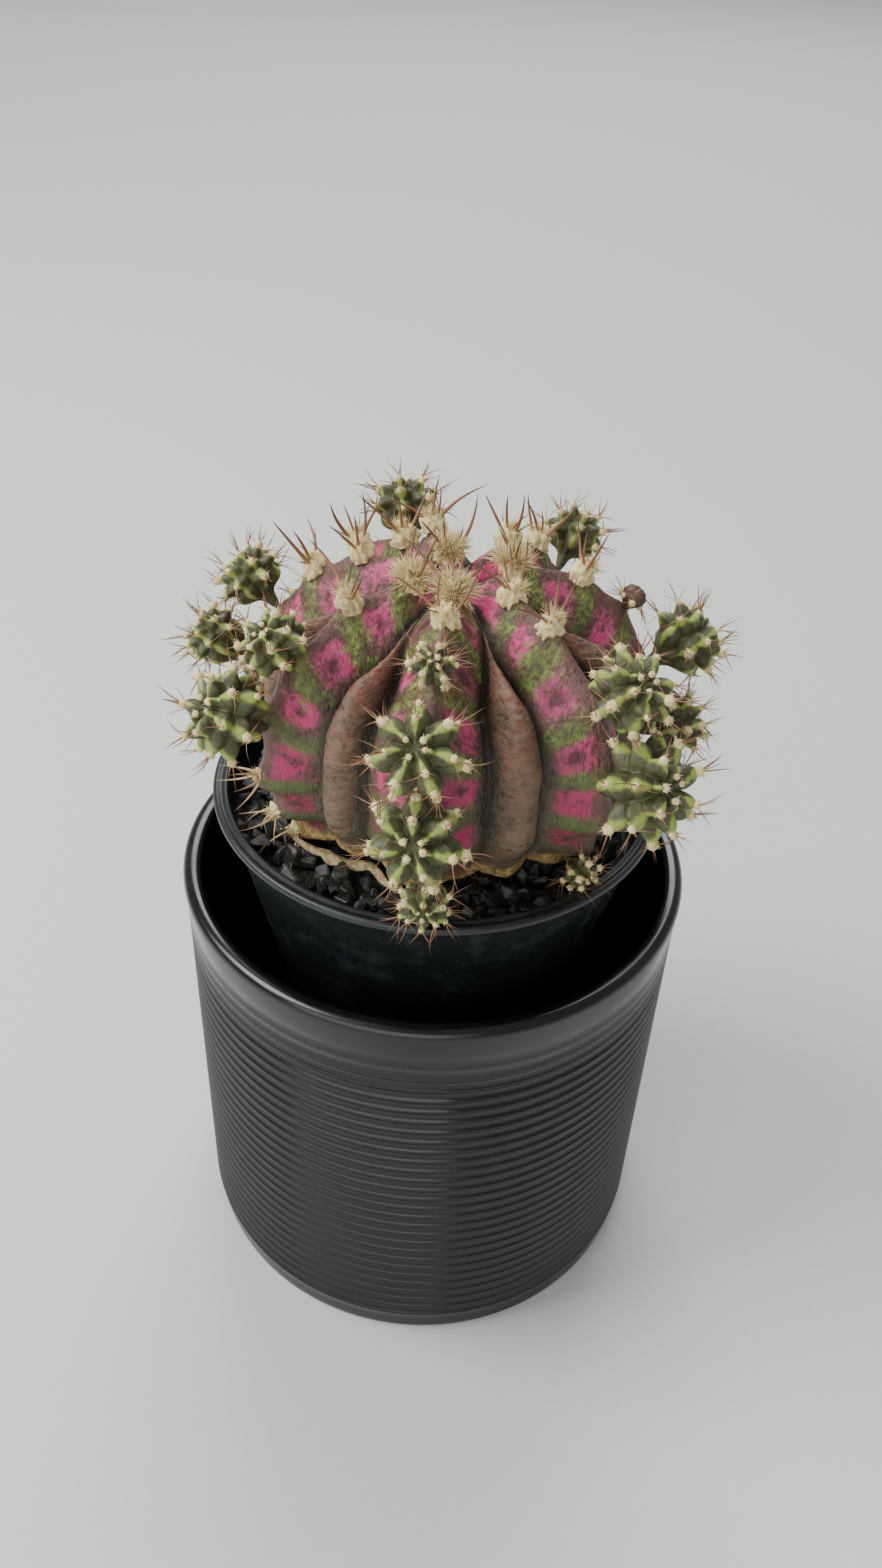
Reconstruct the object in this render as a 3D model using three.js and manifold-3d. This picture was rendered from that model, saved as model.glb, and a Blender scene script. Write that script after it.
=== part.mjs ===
// Potted round cactus: a ribbed globe cactus with offsets, growing in a plastic nursery pot
// that stands loose inside a ridged ceramic cover pot. Millimetres, +Z up, origin at the
// centre of the cover pot's flat underside.

import * as THREE from 'three';
import { mergeVertices } from 'three/addons/utils/BufferGeometryUtils.js';
import Module from 'manifold-3d';

const wasm = await Module();
wasm.setup();

// ---- Driving dimensions -------------------------------------------------------------------

const GAP = 0.3; // clearance kept between touching pieces
const STEEPEST_LEAN = 0.25; // keeps a sharp edge from being grown into a long point
const ROUND_SEGMENTS = 36;

// Nursery pot: thin moulded plastic with a rolled rim
const NURSERY_RIM_RADIUS = 60;
const NURSERY_HEIGHT = 152.7;
const NURSERY_WALL = 1.4;
const NURSERY_FLOOR = 1.8;
const NURSERY_LIP_WIDTH = 4.1;
const NURSERY_LIP_HEIGHT = 2.4;
const NURSERY_LIP_OVERHANG = 2.3;
const NURSERY_UPPER_DEPTH = 62; // rim down to the bend where the wall steepens
const NURSERY_UPPER_TAPER = 0.226; // radius lost per millimetre of depth
const NURSERY_LOWER_TAPER = 0.085;
const DRAIN_HOLES = 5;
const DRAIN_HOLE_RADIUS = 4;
const DRAIN_CIRCLE_RADIUS = 22;

// Cover pot: glazed ceramic cylinder sized to drop the nursery pot in
const COVER_ROOM = 4.6; // radial room between the nursery rim and the cover pot's wall
const COVER_WALL = 5.4;
const COVER_HEIGHT = 134;
const COVER_FLOOR = 6;
const COVER_RIM_ROUND = 2.4;
const COVER_BODY_SETBACK = 0.5; // the body is this much narrower than the rim
const COVER_FOOT_CHAMFER = 1.5;
const COVER_INNER_FILLET = 5;
const RIDGE_COUNT = 29;
const RIDGE_PITCH = 4.134;
const RIDGE_DEPTH = 0.8;
const FOOT_BAND_HEIGHT = 8.4; // plain band below the lowest ridge

// Fill: potting mix with a top dressing of lava gravel
const GRAVEL_BELOW_RIM = 5.5;
const GRAVEL_DEPTH = 12;
const GRAVEL_LUMP = 1.1;

// Mother plant: crest outline of the ribs as a superellipse about the widest level
const PLANT_CENTRE = new THREE.Vector2(2.8, -1.1);
const PLANT_RADIUS = 51.8;
const PLANT_RISE = 41.7; // widest level to the top of the ribs
const PLANT_DROP = 38.5; // widest level to the bottom of the body
const PLANT_SUNK = 10.2; // how deep the body sits in the gravel
const PLANT_SQUARENESS = 2.29;
const CROWN_DIP = 7;
const CROWN_RADIUS = 12;
const RIB_DEPTH = 10;
const RIB_SHARPNESS = 1.45; // 1 gives a ridge like a roof, 2 a round one
const SHOULDER_DEPTH = 8; // extra depth where the grooves plunge towards the crown
const SHOULDER_PLACE = 38; // degrees from the crown
const SHOULDER_SPREAD = 18;
const FOLD_DEPTH_SHARE = 0.4; // how far the secondary fold stays below the rib crest
const FOLD_START = 22; // degrees from the crown where the fold begins
const FOLD_FULL = 62;
const CREASE_PLACE = 0.37; // crease beside the fold, as a share of the way to the next rib
const RIB_AZIMUTHS = {
  front: -96,
  right_front: -43,
  right: 14,
  right_back: 56,
  back: 103,
  left_back: 132,
  left: 160,
  left_front: -150,
};
const TAPROOT_LENGTH = 30;
const TAPROOT_RADIUS = 14;
const TAPROOT_OVERLAP = 3; // how far the root reaches up into the body

// Offsets: place along the rib (degrees from the crown), sideways shift from the rib (degrees),
// height of the centre above the crest, and radius
const OFFSETS = [
  { name: 'front_upper', rib: 'front', down: 41, side: -1, out: 4.5, radius: 4.6 },
  { name: 'front_middle', rib: 'front', down: 64, side: -1, out: 11, radius: 9.2 },
  { name: 'front_lower', rib: 'front', down: 85, side: 0, out: 10, radius: 9.6 },
  { name: 'front_base', rib: 'front', down: 105, side: 2, out: 9, radius: 5.6 },
  { name: 'left_front_upper', rib: 'left_front', down: 53, side: 2, out: 8, radius: 7.2 },
  { name: 'left_front_lower', rib: 'left_front', down: 74, side: 3, out: 12, radius: 9.6 },
  { name: 'left_upper', rib: 'left', down: 66, side: -1, out: 11, radius: 7.6 },
  { name: 'left_lower', rib: 'left', down: 78, side: 13, out: 12, radius: 6.8 },
  { name: 'left_base', rib: 'left', down: 101, side: -4, out: 8, radius: 6.2 },
  { name: 'left_back_middle', rib: 'left_back', down: 86, side: -2, out: 9, radius: 7 },
  { name: 'back_upper', rib: 'back', down: 52, side: 5, out: 10, radius: 8 },
  { name: 'back_lower', rib: 'back', down: 84, side: 1, out: 9, radius: 8 },
  { name: 'right_back_upper', rib: 'right_back', down: 62, side: 0, out: 12, radius: 7.4 },
  { name: 'right_back_lower', rib: 'right_back', down: 92, side: 3, out: 9, radius: 7 },
  { name: 'right_bud', rib: 'right', down: 53, side: -1, out: 4, radius: 3.4 },
  { name: 'right_middle', rib: 'right', down: 80, side: 4, out: 14, radius: 9 },
  { name: 'right_lower', rib: 'right', down: 99, side: -2, out: 12, radius: 7.6 },
  { name: 'right_front_upper', rib: 'right_front', down: 58, side: 0, out: 11, radius: 8.8 },
  { name: 'right_front_lower', rib: 'right_front', down: 80, side: -3, out: 13, radius: 11 },
  { name: 'right_front_base', rib: 'right_front', down: 115, side: -6, out: 4, radius: 4.2 },
];
const OFFSET_TOP_SHARE = 0.8; // an offset's crown is flatter than a ball
const OFFSET_GROOVE = 0.24; // groove depth as a share of its radius
const OFFSET_UPWARD = 0.35; // how much an offset turns up towards the light
const OFFSET_RIBS = 6;
const OFFSET_ROOTING = 1.5; // how deep its neck starts inside the mother plant

// Areoles: wool tufts with spines along each crest, in degrees from the crown
const AREOLES = {
  front: [9, 23],
  right_front: [16, 31],
  right: [12, 33],
  right_back: [21, 41],
  back: [9, 33],
  left_back: [20, 46],
  left: [26, 44],
  left_front: [11, 30, 95, 112, 126],
};
const WOOL_RADIUS = 3.6;
const WOOL_HEIGHT = 3;
const SPINES_PER_AREOLE = 3;
const SPINE_LENGTH = 13;
const SPINE_RADIUS = 0.55;
const SPINE_SPREAD = 42; // degrees away from the areole's own direction

// ---- Derived levels -----------------------------------------------------------------------

const nurseryFloorLevel = COVER_FLOOR + GAP;
const rimLevel = nurseryFloorLevel + NURSERY_HEIGHT;
const gravelLevel = rimLevel - GRAVEL_BELOW_RIM;
const mixLevel = gravelLevel - GRAVEL_DEPTH;
const widestLevel = gravelLevel - PLANT_SUNK + PLANT_DROP;
const coverInnerRadius = NURSERY_RIM_RADIUS + COVER_ROOM;
const coverRimRadius = coverInnerRadius + COVER_WALL;
const coverBodyRadius = coverRimRadius - COVER_BODY_SETBACK;

// ---- Materials ----------------------------------------------------------------------------

const blackGlaze = new THREE.MeshStandardMaterial({ color: '#1c1d1f', roughness: 0.32, metalness: 0 });
const blackPlastic = new THREE.MeshStandardMaterial({ color: '#14191f', roughness: 0.55, metalness: 0 });
const pottingSoil = new THREE.MeshStandardMaterial({ color: '#2a211b', roughness: 0.95, metalness: 0 });
const lavaGravel = new THREE.MeshStandardMaterial({ color: '#1b1b1d', roughness: 0.8, metalness: 0 });
const motherSkin = new THREE.MeshStandardMaterial({ color: '#8a4a5c', roughness: 0.6, metalness: 0 });
const offsetSkin = new THREE.MeshStandardMaterial({ color: '#4d5a33', roughness: 0.55, metalness: 0 });
const woolAndSpines = new THREE.MeshStandardMaterial({ color: '#d8cca6', roughness: 0.9, metalness: 0 });

// ---- Solid helpers ------------------------------------------------------------------------

// A closed three.js geometry as a manifold solid.
function toSolid(geometry) {
  const bare = geometry.clone();
  bare.deleteAttribute('normal');
  bare.deleteAttribute('uv');
  const merged = mergeVertices(bare, 1e-4);
  const vertProperties = new Float32Array(merged.attributes.position.array);
  const triVerts = new Uint32Array(merged.index.array);
  return new wasm.Manifold(new wasm.Mesh({ numProp: 3, vertProperties, triVerts }));
}

// A manifold solid as a three.js geometry.
function toGeometry(solid) {
  const mesh = solid.getMesh();
  const geometry = new THREE.BufferGeometry();
  geometry.setAttribute('position', new THREE.BufferAttribute(new Float32Array(mesh.vertProperties), 3));
  geometry.setIndex(new THREE.BufferAttribute(new Uint32Array(mesh.triVerts), 1));
  geometry.computeVertexNormals();
  return geometry;
}

// A solid turned about Z from (radius, height) points that start and end on the axis.
function turned(points) {
  const outline = points.map(([radius, height]) => new THREE.Vector2(radius, height));
  const geometry = new THREE.LatheGeometry(outline, ROUND_SEGMENTS);
  geometry.rotateX(Math.PI / 2);
  return toSolid(geometry);
}

// A closed globe whose points come from place(turn, fall), both running from 0 to 1.
function globe(columns, rows, place) {
  const geometry = new THREE.SphereGeometry(1, columns, rows);
  const position = geometry.attributes.position;
  for (let i = 0; i < position.count; i += 1) {
    const row = Math.floor(i / (columns + 1));
    const column = (i % (columns + 1)) % columns;
    const point = place(column / columns, row / rows);
    position.setXYZ(i, point.x, point.y, point.z);
  }
  return geometry;
}

function smoothStep(from, to, value) {
  return THREE.MathUtils.smoothstep(value, from, to);
}

// ---- Pots ---------------------------------------------------------------------------------

// Ridged outer wall from the foot to the rim, an open mouth and a flat floor.
function coverPot() {
  const points = [
    [0, 0],
    [coverBodyRadius - COVER_FOOT_CHAMFER, 0],
    [coverBodyRadius, COVER_FOOT_CHAMFER],
  ];
  for (let i = 0; i < RIDGE_COUNT; i += 1) {
    const groove = FOOT_BAND_HEIGHT + i * RIDGE_PITCH;
    points.push([coverBodyRadius - RIDGE_DEPTH, groove]);
    points.push([coverBodyRadius, groove + RIDGE_PITCH / 2]);
  }
  const bandStart = FOOT_BAND_HEIGHT + RIDGE_COUNT * RIDGE_PITCH;
  points.push([coverBodyRadius, bandStart]);
  points.push([coverRimRadius, COVER_HEIGHT - COVER_RIM_ROUND]);
  points.push([coverRimRadius - 0.3 * COVER_RIM_ROUND, COVER_HEIGHT - 0.3 * COVER_RIM_ROUND]);
  points.push([coverRimRadius - COVER_RIM_ROUND, COVER_HEIGHT]);
  points.push([coverInnerRadius + 0.4 * COVER_RIM_ROUND, COVER_HEIGHT]);
  points.push([coverInnerRadius, COVER_HEIGHT - 0.4 * COVER_RIM_ROUND]);
  points.push([coverInnerRadius, COVER_FLOOR + COVER_INNER_FILLET]);
  points.push([coverInnerRadius - COVER_INNER_FILLET, COVER_FLOOR]);
  points.push([0, COVER_FLOOR]);
  return turned(points);
}

// Outer radius of the nursery pot's wall at a depth below its rim.
function nurseryWallRadius(depth) {
  const top = NURSERY_RIM_RADIUS - NURSERY_LIP_OVERHANG;
  const upper = Math.min(depth, NURSERY_UPPER_DEPTH);
  const lower = Math.max(depth - NURSERY_UPPER_DEPTH, 0);
  return top - upper * NURSERY_UPPER_TAPER - lower * NURSERY_LOWER_TAPER;
}

function nurseryInnerRadius(level) {
  return nurseryWallRadius(rimLevel - level) - NURSERY_WALL;
}

function nurseryPot() {
  const bend = rimLevel - NURSERY_UPPER_DEPTH;
  const underLip = rimLevel - NURSERY_LIP_HEIGHT;
  const innerFloor = nurseryFloorLevel + NURSERY_FLOOR;
  const lipInnerRadius = NURSERY_RIM_RADIUS - NURSERY_LIP_WIDTH;
  let pot = turned([
    [0, nurseryFloorLevel],
    [nurseryWallRadius(NURSERY_HEIGHT), nurseryFloorLevel],
    [nurseryWallRadius(NURSERY_UPPER_DEPTH), bend],
    [nurseryWallRadius(NURSERY_LIP_HEIGHT), underLip],
    [NURSERY_RIM_RADIUS - 0.3, underLip],
    [NURSERY_RIM_RADIUS, rimLevel - 1.2],
    [NURSERY_RIM_RADIUS - 1.2, rimLevel],
    [lipInnerRadius + 0.9, rimLevel],
    [lipInnerRadius, rimLevel - 1.4],
    [nurseryInnerRadius(underLip - 2), underLip - 2],
    [nurseryInnerRadius(bend), bend],
    [nurseryInnerRadius(innerFloor), innerFloor],
    [0, innerFloor],
  ]);
  for (let i = 0; i < DRAIN_HOLES; i += 1) {
    const angle = (2 * Math.PI * i) / DRAIN_HOLES;
    const drill = new THREE.CylinderGeometry(DRAIN_HOLE_RADIUS, DRAIN_HOLE_RADIUS, 4 * NURSERY_FLOOR, 10);
    drill.rotateX(Math.PI / 2);
    drill.translate(
      DRAIN_CIRCLE_RADIUS * Math.cos(angle),
      DRAIN_CIRCLE_RADIUS * Math.sin(angle),
      nurseryFloorLevel + NURSERY_FLOOR / 2,
    );
    pot = pot.subtract(toSolid(drill));
  }
  return pot;
}

// ---- Fill ---------------------------------------------------------------------------------

// Mix packed against the nursery pot's wall, from its floor up to the gravel.
function pottingMix() {
  const bottom = nurseryFloorLevel + NURSERY_FLOOR + GAP;
  const bend = rimLevel - NURSERY_UPPER_DEPTH;
  return turned([
    [0, bottom],
    [nurseryInnerRadius(bottom) - GAP, bottom],
    [nurseryInnerRadius(bend) - GAP, bend],
    [nurseryInnerRadius(mixLevel) - GAP, mixLevel],
    [0, mixLevel],
  ]);
}

// Loose gravel as one lumpy layer.
function gravelLayer() {
  const bottom = mixLevel + GAP;
  const edge = (level) => nurseryInnerRadius(level) - GAP;
  const rings = 4;
  const geometry = globe(ROUND_SEGMENTS, rings + 2, (turn, fall) => {
    const ring = Math.round(fall * (rings + 2));
    const angle = 2 * Math.PI * turn;
    if (ring > rings) {
      const radius = ring === rings + 1 ? edge(bottom) : 0;
      return new THREE.Vector3(radius * Math.cos(angle), radius * Math.sin(angle), bottom);
    }
    const lump = Math.sin((Math.PI * ring) / rings) * Math.sin(5 * ring + 11 * angle);
    const level = gravelLevel + lump * GRAVEL_LUMP;
    const radius = (edge(gravelLevel - GRAVEL_LUMP) * ring) / rings;
    return new THREE.Vector3(radius * Math.cos(angle), radius * Math.sin(angle), level);
  });
  return toSolid(geometry);
}

// ---- Mother plant -------------------------------------------------------------------------

// Point on a rib's crest outline, a distance out from it, as (radius, level) and its normal.
function crest(fall, out) {
  const sine = Math.sin(fall);
  const cosine = Math.cos(fall);
  const reach = cosine > 0 ? PLANT_RISE : PLANT_DROP;
  const power = 2 / PLANT_SQUARENESS;
  const normal = new THREE.Vector2(sine * reach, cosine * PLANT_RADIUS).normalize();
  const radius = PLANT_RADIUS * sine ** power;
  const dip = CROWN_DIP * Math.exp(-((radius / CROWN_RADIUS) ** 2)) * (cosine > 0 ? 1 : 0);
  const level = widestLevel + Math.sign(cosine) * reach * Math.abs(cosine) ** power - dip;
  return { radius: radius + out * normal.x, level: level + out * normal.y, normal };
}

// Depth below the crest outline, across the way from one rib to the next (0 to 1).
function grooveDepth(across, fall) {
  const degrees = THREE.MathUtils.radToDeg(fall);
  const foldGrowth = smoothStep(FOLD_START, FOLD_FULL, degrees);
  const crease = THREE.MathUtils.lerp(0.5, CREASE_PLACE, foldGrowth);
  const fromRib = Math.min(across, 1 - across);
  const shoulder = SHOULDER_DEPTH * Math.exp(-(((degrees - SHOULDER_PLACE) / SHOULDER_SPREAD) ** 2));
  const depth = (RIB_DEPTH + shoulder) * Math.sin(fall) ** 0.6;
  if (fromRib <= crease) {
    return depth * (fromRib / crease) ** RIB_SHARPNESS;
  }
  const overFold = (fromRib - crease) / (0.5 - crease);
  return depth * (1 - (1 - FOLD_DEPTH_SHARE) * foldGrowth * Math.sin((overFold * Math.PI) / 2));
}

// Rib directions in turning order, and the first one again a full turn later.
function ribDirections() {
  const ribs = Object.values(RIB_AZIMUTHS).sort((a, b) => a - b);
  return [...ribs, ribs[0] + 360];
}

// How far a direction lies from one rib towards the next, from 0 to 1.
function acrossAt(azimuth) {
  const ribs = ribDirections();
  const turned = azimuth < ribs[0] ? azimuth + 360 : azimuth;
  const after = ribs.findIndex((rib) => rib > turned);
  return (turned - ribs[after - 1]) / (ribs[after] - ribs[after - 1]);
}

// The ribbed body and the taproot under it, still as two solids.
function motherPlantPieces() {
  const ribs = ribDirections();
  const columnsPerRib = 8;
  const columns = (ribs.length - 1) * columnsPerRib;
  const body = globe(columns, 20, (turn, fall) => {
    const column = Math.round(turn * columns);
    const rib = Math.floor(column / columnsPerRib);
    const across = (column % columnsPerRib) / columnsPerRib;
    const angle = THREE.MathUtils.degToRad(THREE.MathUtils.lerp(ribs[rib], ribs[rib + 1], across));
    const spot = crest(fall * Math.PI, -grooveDepth(across, fall * Math.PI));
    return onPlant(spot.radius, angle, spot.level);
  });
  const rootTop = widestLevel - PLANT_DROP + TAPROOT_OVERLAP;
  const root = new THREE.ConeGeometry(TAPROOT_RADIUS, TAPROOT_LENGTH, 12);
  root.rotateX(-Math.PI / 2);
  root.translate(PLANT_CENTRE.x, PLANT_CENTRE.y, rootTop - TAPROOT_LENGTH / 2);
  return [toSolid(body), toSolid(root)];
}

function onPlant(radius, angle, level) {
  return new THREE.Vector3(
    PLANT_CENTRE.x + radius * Math.cos(angle),
    PLANT_CENTRE.y + radius * Math.sin(angle),
    level,
  );
}

// A whole, uncut solid grown by the clearance on every side, to cut its neighbours with.
// Each point moves along its mean normal, further where the faces around it stand steeply to
// that normal, so that every face ends up the clearance away.
function grown(solid) {
  const geometry = toGeometry(solid);
  const position = geometry.attributes.position;
  const normal = geometry.attributes.normal;
  const index = geometry.index;
  const steepest = new Array(position.count).fill(1);
  const corners = [new THREE.Vector3(), new THREE.Vector3(), new THREE.Vector3()];
  const triangle = new THREE.Triangle();
  const faceNormal = new THREE.Vector3();
  const pointNormal = new THREE.Vector3();
  for (let face = 0; face < index.count; face += 3) {
    corners.forEach((corner, k) => corner.fromBufferAttribute(position, index.getX(face + k)));
    triangle.set(...corners);
    triangle.getNormal(faceNormal);
    for (let k = 0; k < 3; k += 1) {
      const point = index.getX(face + k);
      const lean = faceNormal.dot(pointNormal.fromBufferAttribute(normal, point));
      steepest[point] = Math.min(steepest[point], Math.max(lean, STEEPEST_LEAN));
    }
  }
  const grownPosition = position.clone();
  for (let i = 0; i < position.count; i += 1) {
    const move = GAP / steepest[i];
    grownPosition.setXYZ(
      i,
      position.getX(i) + move * normal.getX(i),
      position.getY(i) + move * normal.getY(i),
      position.getZ(i) + move * normal.getZ(i),
    );
  }
  geometry.setAttribute('position', grownPosition);
  return toSolid(geometry);
}

// The largest body of a solid, without the slivers that a clearance cut leaves behind.
function mainBody(solid) {
  return solid.decompose().reduce((best, piece) => (piece.volume() > best.volume() ? piece : best));
}

// ---- Offsets ------------------------------------------------------------------------------

// Places a geometry built about +Z on the plant: at a rib, turned to face out and up.
function seatOnRib(geometry, azimuthDegrees, downDegrees, out, upward) {
  const angle = THREE.MathUtils.degToRad(azimuthDegrees);
  const spot = crest(THREE.MathUtils.degToRad(downDegrees), out);
  const facing = new THREE.Vector3(
    spot.normal.x * Math.cos(angle),
    spot.normal.x * Math.sin(angle),
    spot.normal.y + upward,
  ).normalize();
  geometry.applyQuaternion(new THREE.Quaternion().setFromUnitVectors(new THREE.Vector3(0, 0, 1), facing));
  const place = onPlant(spot.radius, angle, spot.level);
  geometry.translate(place.x, place.y, place.z);
  return toSolid(geometry);
}

// A small ribbed globe that narrows to a neck towards the mother plant.
function offset({ rib, down, side, out, radius }) {
  const columns = 2 * OFFSET_RIBS;
  const groove = grooveDepth(acrossAt(RIB_AZIMUTHS[rib] + side), THREE.MathUtils.degToRad(down));
  const neck = out + groove + OFFSET_ROOTING;
  const geometry = globe(columns, 7, (turn, fall) => {
    const across = Math.sin(fall * Math.PI) ** 0.8;
    const upDown = Math.cos(fall * Math.PI);
    const furrow = Math.round(turn * columns) % 2 === 1 ? OFFSET_GROOVE : 0;
    const reach = radius * across * (1 - furrow);
    const angle = 2 * Math.PI * turn;
    const height = upDown > 0 ? OFFSET_TOP_SHARE * radius * upDown : neck * upDown;
    return new THREE.Vector3(reach * Math.cos(angle), reach * Math.sin(angle), height);
  });
  return seatOnRib(geometry, RIB_AZIMUTHS[rib] + side, down, out, OFFSET_UPWARD);
}

// ---- Areoles ------------------------------------------------------------------------------

// A dome of wool with stiff spines that fan out of it.
function areole(rib, down, index) {
  const dome = new THREE.SphereGeometry(1, 6, 4);
  dome.rotateX(Math.PI / 2);
  dome.scale(WOOL_RADIUS, WOOL_RADIUS, WOOL_HEIGHT);
  let tuft = seatOnRib(dome, RIB_AZIMUTHS[rib], down, 0.25 * WOOL_HEIGHT, 0);
  for (let i = 0; i < SPINES_PER_AREOLE; i += 1) {
    const spine = new THREE.ConeGeometry(SPINE_RADIUS, SPINE_LENGTH, 3);
    spine.rotateX(Math.PI / 2);
    spine.translate(0, 0, SPINE_LENGTH / 2);
    spine.rotateX(THREE.MathUtils.degToRad(SPINE_SPREAD));
    spine.rotateZ((2 * Math.PI * (i + 0.37 * index)) / SPINES_PER_AREOLE);
    tuft = tuft.add(seatOnRib(spine, RIB_AZIMUTHS[rib], down, 0.5 * WOOL_HEIGHT, 0));
  }
  return tuft;
}

// ---- Assembly -----------------------------------------------------------------------------

const group = new THREE.Group();

function addNode(name, solid, material) {
  const mesh = new THREE.Mesh(toGeometry(solid), material);
  mesh.name = name;
  group.add(mesh);
}

const [body, root] = motherPlantPieces();
const mother = body.add(root);
const motherGrown = grown(body).add(grown(root));
const nursery = nurseryPot();
const gravel = gravelLayer();

addNode('cover_pot', coverPot(), blackGlaze);
addNode('nursery_pot', nursery, blackPlastic);
addNode('potting_mix', pottingMix().subtract(motherGrown), pottingSoil);
addNode('lava_gravel', gravel.subtract(motherGrown), lavaGravel);
addNode('mother_plant', mother, motherSkin);

// What grows on the mother plant clears the pot, the gravel and all that grew before it.
let taken = motherGrown.add(grown(nursery)).add(grown(gravel));

for (const entry of OFFSETS) {
  const whole = offset(entry);
  addNode(`offset_${entry.name}`, mainBody(whole.subtract(taken)), offsetSkin);
  taken = taken.add(grown(whole));
}

let areoleIndex = 0;
for (const [rib, places] of Object.entries(AREOLES)) {
  for (const [order, down] of places.entries()) {
    const tuft = mainBody(areole(rib, down, areoleIndex).subtract(taken));
    addNode(`areole_${rib}_${order + 1}`, tuft, woolAndSpines);
    taken = taken.add(grown(tuft));
    areoleIndex += 1;
  }
}

export default group;
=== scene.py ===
import math
import random

import bmesh
import bpy
from mathutils import Matrix, Vector, noise


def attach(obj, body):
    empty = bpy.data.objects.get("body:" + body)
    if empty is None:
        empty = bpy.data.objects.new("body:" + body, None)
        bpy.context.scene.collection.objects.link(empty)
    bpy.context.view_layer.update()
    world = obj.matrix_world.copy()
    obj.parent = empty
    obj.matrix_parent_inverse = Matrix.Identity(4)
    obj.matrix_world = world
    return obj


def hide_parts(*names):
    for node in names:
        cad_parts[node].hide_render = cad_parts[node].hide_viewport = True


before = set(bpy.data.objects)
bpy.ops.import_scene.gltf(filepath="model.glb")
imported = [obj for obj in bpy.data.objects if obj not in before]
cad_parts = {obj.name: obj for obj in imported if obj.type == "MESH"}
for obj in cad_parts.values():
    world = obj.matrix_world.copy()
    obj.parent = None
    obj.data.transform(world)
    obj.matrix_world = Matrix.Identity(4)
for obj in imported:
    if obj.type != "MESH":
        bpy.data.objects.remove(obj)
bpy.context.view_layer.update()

# Cover pot. A slip-cast stoneware cylinder with shallow scallops turned round its side, which meet in
# sharp ridges, dipped in a satin black glaze inside and out. It stands on a bare foot ring, and the
# nursery pot stands loose in it. Sizes here and below are in millimetres.
MM = 0.001
TURNING_STEPS = 160
COVER_HEIGHT = 134
COVER_RIM_RADIUS = 70
COVER_RIM_ROUND = 2.4
COVER_BODY_RADIUS = 69.5
COVER_INNER_RADIUS = 64.6
COVER_FLOOR = 6
COVER_FLOOR_ROUND = 5
FOOT_RECESS = 1.2
FOOT_RING_INNER, FOOT_RING_OUTER = 61, 64
FOOT_ROUND = 1.5
RIDGES = 29
RIDGE_PITCH = 4.15
RIDGE_DEPTH = 1.0
RIDGE_START = 8.3
SHALLOW_RIDGES = 4
PLAIN_BAND_START = 126.5

# places of a colour Mix node's sockets, which share their names: two colours, how much of the upper one
# lies over the lower one, and the blend that comes out
SHARE, UNDER, OVER, BLEND = 0, 6, 7, 2


def linear(code):
    """The linear colour of an sRGB hex code, with its alpha."""
    values = [int(code[i : i + 2], 16) / 255 for i in (1, 3, 5)]
    return [v / 12.92 if v <= 0.04045 else ((v + 0.055) / 1.055) ** 2.4 for v in values] + [1]


def pattern(size):
    """The texture scale that makes a pattern about that many millimetres wide."""
    return 1 / (size * MM)


def add_node(tree, kind, output, inputs, **settings):
    """Adds a node, sets or links its inputs, by name or by place, and returns one of its outputs."""
    new = tree.nodes.new(kind)
    for name, value in settings.items():
        setattr(new, name, value)
    for key, value in inputs.items():
        if isinstance(value, bpy.types.NodeSocket):
            tree.links.new(value, new.inputs[key])
        else:
            new.inputs[key].default_value = value
    return new.outputs[output]


def new_material(name, shader_values):
    """A principled material: the material, its node tree, its shader and its object coordinates."""
    material = bpy.data.materials.new(name)
    material.use_nodes = True
    tree = material.node_tree
    shader = tree.nodes["Principled BSDF"]
    for key, value in shader_values.items():
        shader.inputs[key].default_value = value
    return material, tree, shader, add_node(tree, "ShaderNodeTexCoord", "Object", {})


def arc(centre_radius, centre_height, size, start, end, steps):
    """Profile points (radius, height) along an arc, angles in degrees from outwards to upwards."""
    turns = [math.radians(start + (end - start) * i / steps) for i in range(steps + 1)]
    return [(centre_radius + size * math.cos(a), centre_height + size * math.sin(a)) for a in turns]


def turned(profile, steps):
    """A closed body turned from a profile in millimetres that starts and ends on the axis."""
    bm = bmesh.new()
    verts = [bm.verts.new((radius * MM, 0, height * MM)) for radius, height in profile]
    edges = [bm.edges.new(pair) for pair in zip(verts, verts[1:])]
    bmesh.ops.spin(
        bm, geom=verts + edges, cent=(0, 0, 0), axis=(0, 0, 1), dvec=(0, 0, 0),
        angle=math.tau, steps=steps, use_merge=True, use_duplicate=False,
    )
    bmesh.ops.remove_doubles(bm, verts=bm.verts, dist=0.001 * MM)
    return bm


def make_piece(name, bm, materials, nodes=(), smooth=True, values=None):
    """Makes a bmesh a piece that rides on the root and stands for the CAD nodes named."""
    bmesh.ops.recalc_face_normals(bm, faces=bm.faces)
    mesh = bpy.data.meshes.new(name)
    bm.to_mesh(mesh)
    bm.free()
    for material in materials:
        mesh.materials.append(material)
    for key, numbers in (values or {}).items():
        mesh.attributes.new(key, "FLOAT", "POINT").data.foreach_set("value", numbers)
    if smooth:
        mesh.shade_smooth()
    piece = bpy.data.objects.new(name, mesh)
    bpy.context.scene.collection.objects.link(piece)
    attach(piece, "root")
    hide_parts(*nodes)
    return piece


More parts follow.
